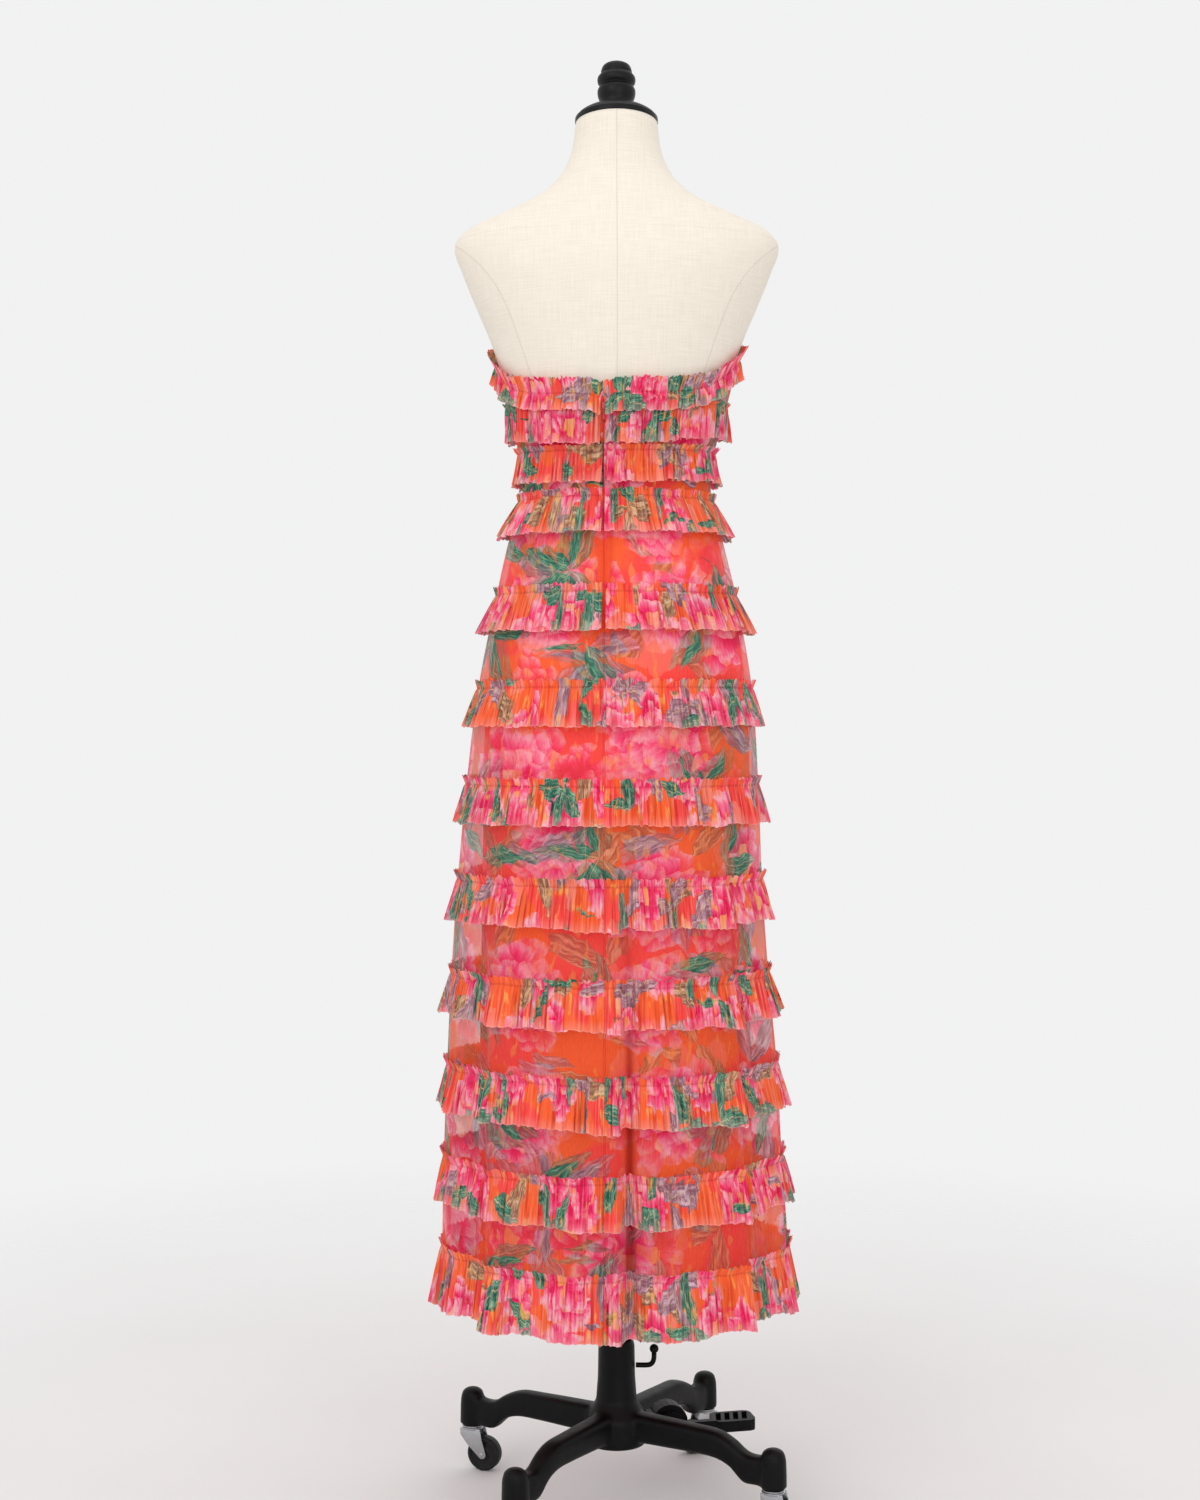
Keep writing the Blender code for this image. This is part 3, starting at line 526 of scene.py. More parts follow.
def scattered(paint, x, y, size, shift, loose=0.72):
    """Place from the nearest of many scattered points, and three chances drawn for that point."""
    here = paint.vector(x + shift, y + 0.71 * shift)
    cell = paint.node(
        "ShaderNodeTexVoronoi", {"voronoi_dimensions": "2D", "feature": "F1"},
        {"Vector": here, "Scale": 1.0 / size, "Randomness": loose},
    )
    gap = paint.node(
        "ShaderNodeVectorMath", {"operation": "SUBTRACT"}, {0: here, 1: cell.outputs["Position"]}
    )
    return paint.parts(gap.outputs[0])[:2], paint.parts(cell.outputs["Color"])


def spray(paint, ground, x, y, leaves):
    """Leaves set round scattered points, streaked from stalk to tip, with a thin midrib."""
    light, middle, dark, vein = leaves.inks
    (dx, dy), (chance, _, _) = scattered(paint, x, y, leaves.size, leaves.shift)
    radius = (dx * dx + dy * dy).of("SQRT")
    sector = math.tau / leaves.count
    turn = dy.of("ARCTAN2", dx) + chance * math.tau + math.tau
    number = (turn / sector).of("FLOOR")
    apart = turn - (number + 0.5) * sector
    drawn = paint.node(
        "ShaderNodeTexWhiteNoise", {"noise_dimensions": "2D"},
        {"Vector": paint.vector(number, chance)},
    )
    luck = Value(paint, drawn.outputs["Value"])
    length = leaves.reach * (0.66 + 0.5 * luck)
    along = radius * apart.of("COSINE") / length
    side = radius * apart.of("SINE") + (luck - 0.6) * leaves.width * along * along
    half = 4.0 * leaves.width * along * (1.0 - along) * (1.25 - 0.5 * along)
    inside = half - abs(side)
    mask = (inside > 0.0) * (luck > 1.0 - leaves.share)
    streak = paint.noise(side, along * 0.012, 0.0030, 2.0, leaves.shift)
    lines = ((side / (half + 0.0008) * 8.0 + 5.0 * streak).of("SINE") - 0.55).kept() * 1.6
    body = paint.mix(((streak - 0.34) * 3.2).kept(), dark, middle)
    body = paint.mix(((streak - 0.52) * 4.0).kept(), body, light)
    body = paint.mix(lines * 0.45, body, dark)
    body = paint.mix((1.0 - abs(side) / 0.0011).kept() * 0.6, body, vein)
    body = paint.mix((1.0 - inside / 0.0012).kept() * 0.5, body, dark)
    return paint.mix(mask, ground, body)


def bloom(paint, ground, x, y, flowers):
    """Full flowers at scattered points, of overlapping petals with deep folds and pale rims."""
    reach, shift = flowers.reach, flowers.shift
    (dx, dy), (_, pick, _) = scattered(paint, x, y, flowers.size, shift, 0.6)
    petal_size = 0.40 * reach
    (px, py), (luck, hue, _) = scattered(paint, x, y, petal_size, shift + 3.1, 0.85)
    mid_x, mid_y = dx - px, dy - py
    spread = (mid_x * mid_x + mid_y * mid_y).of("SQRT") + 0.002
    rise = (px * mid_x + py * mid_y) / spread
    aside = (px * mid_y - py * mid_x) / spread
    streak = paint.noise(aside, rise * 0.22, 0.0032, 2.0, shift)
    level = 0.50 + rise / (1.15 * petal_size) + 0.75 * (streak - 0.5) + 0.34 * (luck - 0.5)
    level = level - 0.9 * abs(aside / petal_size) * abs(aside / petal_size)
    petal = paint.ramp(level, PETAL_TONES)
    heart = ((0.42 - spread / reach) * 4.0).kept() * (hue > 0.55)
    petal = paint.mix(heart * 0.75, petal, FLAME)
    mask = (spread < reach * (0.86 + 0.3 * luck)) * (pick < flowers.share)
    return paint.mix(mask, ground, petal)


def floral(paint, x, y, full=True):
    """Painted flowers and leaves on a ground of orange and coral patches."""
    bent_x = x + 0.020 * (paint.noise(x, y, 0.034, 2.0, 4.1) - 0.5)
    bent_y = y + 0.020 * (paint.noise(x, y, 0.034, 2.0, 9.7) - 0.5)
    patches = paint.noise(bent_x, bent_y, 0.095, 1.0, 1.3)
    colour = paint.mix(((patches - 0.50) * 30.0).kept(), ORANGE, CORAL)
    if full:
        (px, py), (_, pick, tone) = scattered(paint, bent_x, bent_y, 0.058, 33.0, 0.9)
        round_gap = (px * px + py * py * 0.6).of("SQRT") - 0.008 - 0.012 * tone
        rounded = (round_gap < 0.0) * (pick < 0.55)
        colour = paint.mix(rounded * (0.55 + 0.4 * tone), colour, LIGHT_CORAL)
        colour = spray(paint, colour, bent_x, bent_y, TAUPE_LEAVES)
    colour = bloom(paint, colour, bent_x, bent_y, LARGE_FLOWERS)
    colour = spray(paint, colour, bent_x, bent_y, MAUVE_LEAVES)
    if full:
        colour = bloom(paint, colour, bent_x, bent_y, SMALL_FLOWERS)
    colour = spray(paint, colour, bent_x, bent_y, TEAL_LEAVES)
    if full:
        licks = paint.noise(bent_x, bent_y * 0.4, 0.010, 1.0, 3.3)
        colour = paint.mix(((licks - 0.66) * 12.0).kept() * 0.7, colour, FLAME)
    return colour


def net_cloth(paint, colour, relief):
    """Threads of the net, which let some light through."""
    surface = paint.surface(
        Base_Color=colour, Roughness=0.78, Normal=paint.bump(relief, 0.0005, 0.7),
        Sheen_Weight=0.15, Specular_IOR_Level=0.25,
    )
    through = paint.node("ShaderNodeBsdfTranslucent", (), {"Color": colour}).outputs[0]
    return paint.node("ShaderNodeMixShader", (), {0: 0.28, 1: surface, 2: through}).outputs[0]


def threads(x, y, warp, weft):
    """Crossed threads at two spacings in metres, from -1 to 1."""
    return (x * (math.tau / warp)).of("SINE") * (y * (math.tau / weft)).of("SINE")


def net_holes(x, y):
    return abs(threads(x, y, 2 * NET_PITCH, 2 * NET_PITCH))


def sewn_shade(paint, colour, near):
    """Painted shade: a darker line beside a sewn edge, where the seam allowance ends, and along the
    edge itself.
    """
    line = (1.0 - abs(near - 0.0030) / 0.0010).kept() * 0.16
    return paint.mix(line + (near < 0.0013) * 0.6, colour, PAINTED_SHADE, "MULTIPLY")


def sheer_net():
    """Printed net over air: clear between its threads, denser at its sides and in its creases, with
    painted shade in the creases.
    """
    paint = Paint("sheer_net")
    x, y = paint.flat_place()
    low, high, side = paint.seam_gaps()
    near = low.of("MINIMUM", high)
    crease = paint.crease_shade()
    crease = crease * crease
    colour = sewn_shade(paint, floral(paint, x, y, full=False), near)
    # Painted shade at the foot of the narrow creases
    colour = paint.mix(crease, colour, PAINTED_CREASE_SHADE, "MULTIPLY")
    fine = paint.noise(x, y * 0.12, 0.0020, 1.0, 0.4)
    denser = ((0.125 - side) / 0.060).kept()
    covered = 0.36 + 0.28 * denser + 0.60 * crease + (near < 0.0016) * 0.3
    covered = (covered + (0.42 - net_holes(x, y)) * 0.25 + 0.3 * (fine - 0.5)).kept()
    return paint.finish(paint.over_air(covered, net_cloth(paint, colour, fine)))


def lined_net():
    """Printed net close over its lining."""
    paint = Paint("lined_net")
    x, y = paint.flat_place()
    low, high, _ = paint.seam_gaps()
    colour = sewn_shade(paint, floral(paint, x, y), low.of("MINIMUM", high))
    fine = paint.noise(x, y * 0.12, 0.0020, 1.0, 0.4)
    return paint.finish(net_cloth(paint, colour, net_holes(x, y) * 0.4 + fine))


def gathered_net():
    """Printed net gathered into fine upright folds, which hide much of its print, with painted shade
    in their valleys and painted highlights on their crests.
    """
    paint = Paint("gathered_net")
    x, y = paint.flat_place()
    line, hem, crest = paint.seam_gaps()
    tucked = paint.noise(x, y * 0.12, 0.0060, 2.0, 7.7)
    colour = floral(paint, x * 1.55 + 0.026 * (tucked - 0.5), y)
    fold = paint.noise(x, y * 0.06, 0.0030, 2.0, 0.4)
    # Painted shade in the valleys of the fine folds
    valley_shade = ((0.50 - fold) * 3.4 + (0.42 - crest) * 0.8).kept()
    colour = paint.mix(valley_shade * 0.62, colour, PAINTED_SHADE, "MULTIPLY")
    # Painted highlight on the crests of the fine folds
    colour = paint.mix(((fold - 0.52) * 3.6).kept() * 0.26, colour, HIGHLIGHT_AND_HEM_TINT)
    # Painted shade along the gathering line, deeper where the net is tucked
    sewn = (1.0 - line / 0.0018).kept() * (0.12 + 0.6 * tucked)
    colour = paint.mix(sewn, colour, PAINTED_SHADE, "MULTIPLY")
    # Lighter towards the hem, with a pale line at its very edge
    colour = paint.mix((1.0 - hem / 0.0120).kept() * 0.22 + (hem < 0.0009) * 0.15, colour, HIGHLIGHT_AND_HEM_TINT)
    return paint.finish(net_cloth(paint, colour, fold * 2.0 + net_holes(x, y) * 0.3))


def printed_slip():
    """Slip of smooth printed cloth."""
    paint = Paint("printed_slip")
    x, y = paint.flat_place()
    colour = floral(paint, x, y)
    weave = threads(x, y, 0.0006, 0.0006)
    rough = 0.55 + 0.1 * paint.noise(x, y, 0.02)
    return paint.finish(paint.surface(
        Base_Color=colour, Roughness=rough, Normal=paint.bump(weave, 0.00005, 0.5),
        Sheen_Weight=0.1,
    ))


def linen_cover():
    """Cream linen: crossed threads of uneven thickness, with pressed seams."""
    paint = Paint("linen_cover")
    x, y = paint.flat_place()
    gaps = paint.seam_gaps()
    near = gaps[0].of("MINIMUM", gaps[1]).of("MINIMUM", gaps[2])
    groove = (1.0 - near / 0.0009).kept()
    pressed = (1.0 - near / 0.0050).kept()
    slub_x = paint.noise(x, y * 0.05, 0.0016, 2.0, 1.1)
    slub_y = paint.noise(x * 0.05, y, 0.0016, 2.0, 2.2)
    soft = paint.noise(x, y, 0.060, 3.0, 5.0)
    relief = threads(x, y, 0.0011, 0.0012) * 0.5 + slub_x + slub_y
    cream = paint.mix(((slub_x + slub_y) * 0.9 - 0.4).kept(), LINEN, LIGHT_LINEN)
    cream = paint.mix((soft * 0.35).kept(), cream, WARM_LINEN)
    cream = paint.mix(groove * 0.34, cream, SEAM_LINEN)
    height = relief * 0.12 + pressed * 0.24 - groove * 0.5
    return paint.finish(paint.surface(
        Base_Color=cream, Roughness=0.88, Normal=paint.bump(height, 0.0008, 0.7),
        Sheen_Weight=0.12, Specular_IOR_Level=0.3,
    ))


def hard(look, **fixed):
    """Painted, plated or moulded finish: tone, gloss and relief follow one cloudy pattern."""
    paint = Paint(look.name)
    x, y, z = paint.parts(paint.place())
    place = paint.vector(x, y, z * look.stretch)
    cloudy = paint.solid_noise(place, look.size, look.detail)
    height = cloudy
    if look.grain:
        size, fine, broad = look.grain
        height = paint.solid_noise(place, size, 2.0) * fine + cloudy * broad
    share = ((cloudy - 0.5) * look.contrast + 0.5 * (2.0 - look.contrast)).kept()
    return paint.finish(paint.surface(
        Base_Color=paint.mix(share, look.dark, look.light),
        Roughness=look.rough[0] + look.rough[1] * cloudy,
        Normal=paint.bump(height, look.relief, look.strength), **fixed,
    ))


def zip_weave():
    """Orange-red woven tape."""
    paint = Paint("zip_weave")
    x, y = paint.flat_place()
    ribs = threads(x, y, 0.0009, 0.0007)
    colour = paint.mix(paint.noise(x, y, 0.004), TAPE_RED, TAPE_ORANGE)
    return paint.finish(paint.surface(
        Base_Color=colour, Roughness=0.75, Normal=paint.bump(ribs, 0.0002, 0.6),
    ))


def pale_floor():
    """Pale floor that fades out into the backdrop."""
    paint = Paint("pale_floor")
    x, y, _ = paint.parts(paint.place())
    colour = paint.mix(paint.noise(x, y, 0.5, 3.0), FLOOR, LIGHT_FLOOR)
    away = (x * x + y * y).of("SQRT")
    covered = 1.0 - ((away - 0.55) / 1.5).kept()
    return paint.finish(paint.over_air(covered, paint.surface(Base_Color=colour, Roughness=0.9)))


# Shapes of the form and the cloth

def between(before, low, high, after, share, lead, trail):
    """Smooth step from low to high, whose slopes come from the values on both sides."""
    leave, arrive = (high - before) * lead, (after - low) * trail
    square, cube = share * share, share ** 3
    return (
        (2 * cube - 3 * square + 1) * low + (cube - 2 * square + share) * leave
        + (3 * square - 2 * cube) * high + (cube - square) * arrive
    )


@lru_cache(maxsize=None)
def curve_at(table, place):
    """Row of a table at a place along its first column, on a smooth curve through its rows."""
    last = len(table) - 2
    at = next((row for row in range(last) if place <= table[row + 1][0]), last)
    low, high = table[at], table[at + 1]
    before, after = table[max(at - 1, 0)], table[min(at + 2, last + 1)]
    span = high[0] - low[0]
    share = (place - low[0]) / span
    lead, trail = span / (high[0] - before[0]), span / (after[0] - low[0])
    fields = [between(*four, share, lead, trail) for four in zip(before, low, high, after)]
    fields[0] = place
    return tuple(fields)


def section_at(table, height):
    return Section(*curve_at(table, round(height, 5)))


def on_section(section, turn, out):
    """Point of a section at a turn, moved out square to it."""
    across, along = math.sin(turn), -math.cos(turn)
    half = section.left if across > 0 else section.right
    depth = section.front if along < 0 else section.back
    square = Vector((across / half, along / depth, 0.0)).normalized()
    return Vector((half * across, section.middle + depth * along, section.height)) + square * out


def turn_apart(turn, other):
    """Angle between two turns, whichever way round is shorter."""
    return abs((turn - other + math.pi) % math.tau - math.pi)


def bust(turn, height):
    rise = math.exp(-(((height - BUST_HEIGHT) / BUST_SPREAD) ** 2))
    cups = sum(
        math.exp(-((turn_apart(turn, side * BUST_TURN) / BUST_WIDTH) ** 2)) for side in (-1, 1)
    )
    return BUST_OUT * rise * cups


def torso_point(turn, height, out=0.0):
    """Point of the form's covered surface, with the neck's top tilted forward."""
    point = on_section(section_at(TORSO, height), turn, out + bust(turn, height))
    tilted = max(0.0, (height - TORSO[-3].height) / (TORSO[-1].height - TORSO[-3].height))
    point.z += tilted * math.tan(NECK_TILT) * (point.y - TORSO[-1].middle)
    return point


def zip_turn(half_width):
    """The worn dress sits turned a little, which brings its zip to ZIP_X."""
    return math.asin(ZIP_X / half_width)


def bodice_point(turn, height, out=0.0):
    shift = zip_turn(section_at(TORSO, height).left)
    return torso_point(turn - shift, height, BODICE_EASE + out)


def drawn_in(folds, turn, height):
    """How far folds draw the net in."""
    hem = SKIRT[0].height
    depth = 0.0
    for fold in folds:
        apart = math.degrees(turn_apart(turn, math.radians(fold.turn)))
        if apart < fold.spread and height < fold.top:
            share = (fold.top - height) / (fold.top - hem)
            depth += fold.depth * share ** 0.8 * math.cos(math.pi / 2 * apart / fold.spread) ** 2
    return depth


def fold_depth(turn, height):
    return drawn_in(FOLDS + CREASES, turn, height)


def crease_at(turn, height):
    """Shade of a narrow crease, from 0 on open cloth to 1 at the foot of the deepest."""
    return min(1.0, max(0.0, drawn_in(CREASES, turn, height) / DEEPEST_CREASE))


def skirt_point(turn, height, out=0.0):
    section = section_at(SKIRT, height)
    shift = zip_turn(section.left)
    return on_section(section, turn - shift, out - fold_depth(turn, height))


def neckline(turn):
    """Height of the bodice's top edge."""
    return curve_at(NECKLINE, round(math.degrees(turn_apart(turn, 0.0)), 3))[1]


def gather_line(ruffle, turn):
    """Height where a ruffle is sewn on."""
    if ruffle.back is None:
        return neckline(turn) - EDGE_INSET
    facing = math.cos(turn)
    end = ruffle.front if facing > 0 else ruffle.back
    return ruffle.side + (end - ruffle.side) * facing ** 2


def wave_at(turn, index):
    """Broad waves of a ruffle, one crest and a wider hollow in each group of columns."""
    group = WAVE_COLUMNS // WAVES
    place = (turn - math.pi) / math.tau * WAVE_COLUMNS + index
    low = math.floor(place)
    ends = [
        (0.8 + 0.2 * math.sin(2.4 * (column // group) + 1.9 * index))
        * (1.0 if column % group == 0 else -0.5)
        for column in (low, low + 1)
    ]
    share = 0.5 - 0.5 * math.cos(math.pi * (place - low))
    return ends[0] + (ends[1] - ends[0]) * share


def sag(turn):
    """Extra drop of a hem up to each sharp fold, where it ends in a step."""
    extra = 0.0
    for end, reach, depth in SAGS:
        back = end - math.degrees(turn % math.tau)
        if 0.0 <= back < reach:
            extra += depth * math.cos(math.pi / 2 * back / reach) ** 2 * min(1.0, back / 1.0)
    return extra


def drift(turn, index, fineness):
    """Smooth chance round the dress, from about -1 to 1, that meets itself at the centre back."""
    around = Vector((math.cos(turn) * fineness, math.sin(turn) * fineness, 3.7 * index))
    return noise.noise(around) * 1.6


# Building pieces

def linked(name, data):
    """Object in the scene that shows a mesh, a lamp or a camera."""
    item = bpy.data.objects.new(name, data)
    bpy.context.scene.collection.objects.link(item)
    return item


def mesh_of(name, bm):
    """Mesh from a bmesh, which is used up."""
    mesh = bpy.data.meshes.new(name)
    bm.to_mesh(mesh)
    bm.free()
    return mesh


def ready(name, bm, finish, body, node):
    """Finished piece from a bmesh: on its body, in the place of its node."""
    mesh = mesh_of(name, bm)
    mesh.shade_smooth()
    mesh.materials.append(finish)
    piece = linked(name, mesh)
    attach(piece, body)
    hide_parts(node)
    return piece


def arcs(row, start=0):
    """Distances along a row of points from the one numbered start."""
    reach = [0.0]
    for low, high in zip(row, row[1:]):
        reach.append(reach[-1] + (high - low).length)
    return [distance - reach[start] for distance in reach]


def laid(points, places, seams, ring=False, creases=None):
    """Sheet through rows of points, lowest first, with its flat places and distances from seams."""
    across, along = len(points[0]) - 1, len(points) - 1
    bm = bmesh.new()
    flat = bm.loops.layers.uv.new("flat")
    sewn = bm.verts.layers.float_vector.new("seams")
    creased = bm.verts.layers.float.new("crease")
    bmesh.ops.create_grid(bm, x_segments=across, y_segments=along, size=0.5)
    spots = {}
    for vert in bm.verts:
        row, column = round((vert.co.y + 0.5) * along), round((vert.co.x + 0.5) * across)
        spots[vert] = (row, column)
    for vert, (row, column) in spots.items():
        vert.co = points[row][column]
        vert[sewn] = Vector(seams[row][column])
        if creases:
            vert[creased] = creases[row][column]
    for face in bm.faces:
        for loop in face.loops:
            row, column = spots[loop.vert]
            loop[flat].uv = places[row][column]
    if ring:
        bmesh.ops.remove_doubles(bm, verts=bm.verts, dist=1e-6)
    return bm


def spaced(first, last, count):
    """Turns from first to last, with a few close ones beside each end for the sewn edges."""
    inset = SEAM / 2 / SMALLEST_RADIUS
    first, last = first + inset, last - inset
    near = [first] + [first + step / EDGE_RADIUS for step in EDGE_STEPS]
    far = [last - step / EDGE_RADIUS for step in reversed(EDGE_STEPS)] + [last]
    start, end = near[-1], far[0]
    middle = [start + (end - start) * step / count for step in range(1, count)]
    return near + middle + far


def heights_between(low, high, count):
    return [low + (high - low) * step / count for step in range(count + 1)]


def level_rows(low, high, count):
    """Rows of a panel that run level all round."""
    return [lambda turn, height=height: height for height in heights_between(low, high, count)]


def bodice_rows():
    """Rows of the bodice, which rise to follow its top edge."""
    foot = WAIST + SEAM
    return [
        lambda turn, share=step / BODICE_ROWS: foot + (neckline(turn) - WAIST - SEAM) * share
        for step in range(BODICE_ROWS + 1)
    ]


def slip_point(turn, height, out=0.0):
    """Slip on the form's hips, and hanging straight from them to its hem with a few soft flutes."""
    if height >= SLIP_HIP:
        return torso_point(turn, height, SLIP_EASE + out)
    hip = torso_point(turn, SLIP_HIP, SLIP_EASE + out)
    flutes = out + 0.0035 * math.sin(9 * turn + 1.0) + 0.002 * math.sin(17 * turn)
    hem = on_section(SLIP_HEM, turn, flutes)
    point = hip.lerp(hem, (SLIP_HIP - height) / (SLIP_HIP - SLIP_HEM.height))
    point.z = height
    return point


def sewn_edge(centre, low, high):
    """Distance from a panel's zip edge, or from the nearer edge of one that is cut whole."""
    return {"first": low, "middle": min(low, high), "last": high}[centre]


def add_panel(panel, point, levels, finish):
    """Cut panel: rows of points on the worn shape, its print set by where it lies when flat."""
    turns = spaced(math.radians(panel.first), math.radians(panel.last), panel.count)
    points = [[point(turn, level(turn)) for turn in turns] for level in levels]
    start = {"first": 0, "middle": len(turns) // 2, "last": len(turns) - 1}[panel.centre]
    rise = arcs([row[start] for row in points])
    places, seams = [], []
    for up, row in zip(rise, points):
        reach = arcs(row, start)
        places.append([(x + panel.shift[0], up + panel.shift[1]) for x in reach])
        edges = [(x - reach[0], reach[-1] - x) for x in reach]
        seams.append([(low, high, sewn_edge(panel.centre, high, low)) for low, high in edges])
        for column, (low, high) in enumerate(edges if panel.ridge else ()):
            near = sewn_edge(panel.centre, low, high)
            lip = panel.ridge * math.exp(-(((near - LIP_INSET) / LIP_WIDTH) ** 2))
            outward = Vector((row[column].x, row[column].y * 1.6, 0.0)).normalized()
            row[column] += outward * lip
    creases = None
    # How deep each point lies in a narrow crease, for the painted shade and denser net there
    if point is skirt_point:
        creases = [[crease_at(turn, level(turn)) for turn in turns] for level in levels]
    bm = laid(points, places, seams, creases=creases)
    wide, tall = max(arcs(row)[-1] for row in points), rise[-1]
    area = min(sum(face.calc_area() for face in bm.faces), wide * tall)
    piece = ready(f"{panel.name}_cloth", bm, finish, "form", panel.name)


def add_dress():
    """Slip, bodice and skirt."""
    slip, bodice, skirt = printed_slip(), lined_net(), sheer_net()
    for panel in SLIP_PANELS:
        levels = level_rows(SLIP_HEM.height, SLIP_TOP, SLIP_ROWS)
        add_panel(panel, slip_point, levels, slip)
    for panel in BODICE_PANELS:
        add_panel(panel, bodice_point, bodice_rows(), bodice)
    for panel in SKIRT_PANELS:
        levels = level_rows(SKIRT[0].height, WAIST, SKIRT_ROWS)
        add_panel(panel, skirt_point, levels, skirt)


def fall_at(index, ruffle, turn):
    """How a ruffle falls at one turn: its line of stitching, and the chances of its folds there."""
    count = ruffle.gathers * turn / math.tau + 0.9 * drift(turn, index, 3.1)
    count += 0.75 * drift(turn, index + 20, 11.0) + 0.30 * drift(turn, index + 25, 27.0)
    tongue = 0.0014 * drift(turn, index + 90, 2.6)
    if index == len(RUFFLES) - 1:
        apart = math.degrees(turn_apart(turn, math.radians(DIP_TURN)))
        tongue = 2.6 * tongue - DIP * math.exp(-((apart / DIP_REACH) ** 2))
    return Fall(
        line=gather_line(ruffle, turn) + 0.0007 * drift(turn, index + 30, 24.0),
        swing=wave_at(turn, index), count=count,
        bold=max(0.15, 0.80 + 0.85 * drift(turn, index + 40, 13.0)),
        slant=0.3 * drift(turn, index + 60, 6.0),
        ragged=drift(turn, index + 80, 55.0), tongue=tongue,
    )


def below_line(index, ruffle, turn, fall, rise):
    """Turn, height and distance out of a point of the hanging part, in its fine folds."""
    share = -rise / ruffle.drop
    phase = math.tau * (fall.count + fall.slant * share)
    swell = GATHER_DEPTH * fall.bold * (0.45 + 0.75 * share)
    merged = 0.0011 * share * math.sin(phase / 2 + 2.0 * fall.slant)
    out = RUNNING_GAP + ruffle.flare * share ** 0.85 + WAVE_OUT * fall.swing * share
    out += swell * (1.0 + math.sin(phase)) + merged
    pleat = math.tau / ruffle.gathers
    along = turn - 0.30 * pleat * fall.bold * min(1.0, 3.0 * share) * math.sin(2 * phase) / 2
    drop = rise * (1.0 + 0.03 * fall.swing)
    hem = fall.tongue + 0.0009 * fall.ragged + 0.0008 * fall.bold * math.sin(phase + 0.8)
    drop += share * hem
    if index >= SAGGING_RUFFLE:
        drop -= share * sag(turn)
    return along, fall.line + drop, out


def above_line(index, ruffle, turn, fall, rise, ends):
    """Turn, height and distance out of a point of the crinkled head."""
    share = rise / ruffle.head
    phase = math.tau * (fall.count + 0.25 * fall.slant * share)
    crinkle = 0.6 + 0.4 * math.sin(phase) + 0.45 * share * fall.ragged
    lean = HEAD_OUT * share * (1.0 - 0.3 * fall.swing) * min(1.0, ruffle.head / 0.006)
    out = RUNNING_GAP + lean + GATHER_DEPTH * (0.45 + 0.7 * share) * 1.2 * crinkle
    along = turn - 0.12 * math.tau / ruffle.gathers * share * math.sin(2 * phase)
    if index == 0:
        start, end, closing = ends
        along -= closing * math.exp(-(turn - start) / CLOSING_REACH) * min(1.0, 4.0 * share)
        along += closing * math.exp(-(end - turn) / CLOSING_REACH) * min(1.0, 4.0 * share)
    fringe = TOP_FRINGE if index == 0 else FRINGE
    top = rise * (1.0 + fringe * share * (fall.ragged + 0.6 * math.sin(phase + 1.0)))
    return along, fall.line + top, out


def add_ruffle(index, ruffle, finish):
    """Strip gathered on a line below its top edge: a crinkled head above it, fine folds below."""
    on_bodice = index < BODICE_RUFFLES
    point = bodice_point if on_bodice else skirt_point
    split = index < OPEN_RUFFLES
    steps = ruffle.gathers * GATHER_STEPS
    inset = math.asin(ZIP_CLEAR[index] / WAIST_RADIUS) if split else 0.0
    start, end = math.pi + inset, math.pi + math.tau - inset
    ends = start, end, inset - RUNNING_GAP / WAIST_RADIUS
    below = [-ruffle.drop * share for share in RUFFLE_ROWS]
    above = [ruffle.head * share for share in HEAD_ROWS]
    points = [[] for _ in below + above]
    crests = []
    for step in range(steps + 1):
        turn = start + (end - start) * step / steps
        fall = fall_at(index, ruffle, turn)
        crests.append(0.5 + 0.5 * math.sin(math.tau * fall.count))
        spots = [below_line(index, ruffle, turn, fall, rise) for rise in below]
        spots += [above_line(index, ruffle, turn, fall, rise, ends) for rise in above]
        for row, (along, height, out) in zip(points, spots):
            row.append(point(along, height, max(out, SEAM)))
    if not split:
        for row in points:
            row[-1] = row[0].copy()
    widths = arcs(points[4])
    shift = (0.613 * index, 0.291 * index)
    places = [[(x + shift[0], rise + shift[1]) for x in widths] for rise in below + above]
    seams = [[(rise, ruffle.drop + rise, crest) for crest in crests] for rise in below + above]
    bm = laid(points, places, seams, ring=not split)
    name = f"ruffle_{index + 1:02d}"
    piece = ready(f"{name}_cloth", bm, finish, "form", name)
    ruffle.drop + ruffle.head


def add_form(linen):
    """Form under its linen cover, closed at its foot and its neck."""
    turns = [math.tau * step / FORM_COLUMNS for step in range(FORM_COLUMNS + 1)]
    heights = heights_between(TORSO[0].height, TORSO[-1].height, FORM_ROWS)
    points = [[torso_point(turn, height) for turn in turns] for height in heights]
    for row in points:
        row[-1] = row[0].copy()
    places, seams = [], []
    for height, row in zip(heights, points):
        places.append([(x, height) for x in arcs(row, FORM_COLUMNS // 2)])
        blade = curve_at(BLADE_SEAM, round(min(height, BLADE_SEAM[-1][0]), 5))[1]
        side = section_at(TORSO, height).middle
        seams.append([
            (spot.x, abs(spot.x) - blade if height < BLADE_TOP else NO_SEAM,
             spot.y - side - SIDE_SEAM)
            for spot in row
        ])
    bm = laid(points, places, seams, ring=True)
    close_ends(bm)
    ready("linen_form", bm, linen, "form", "torso")


def close_ends(bm):
    bmesh.ops.holes_fill(bm, edges=[edge for edge in bm.edges if edge.is_boundary], sides=0)
    bmesh.ops.recalc_face_normals(bm, faces=bm.faces)


def bridged(bm, rings):
    """Closes a bmesh of rings of points, each bridged to the next."""
    loops = [list({edge for vert in ring for edge in vert.link_edges}) for ring in rings]
    for near, far in zip(loops, loops[1:]):
        bmesh.ops.bridge_loops(bm, edges=near + far)
    close_ends(bm)
    return bm


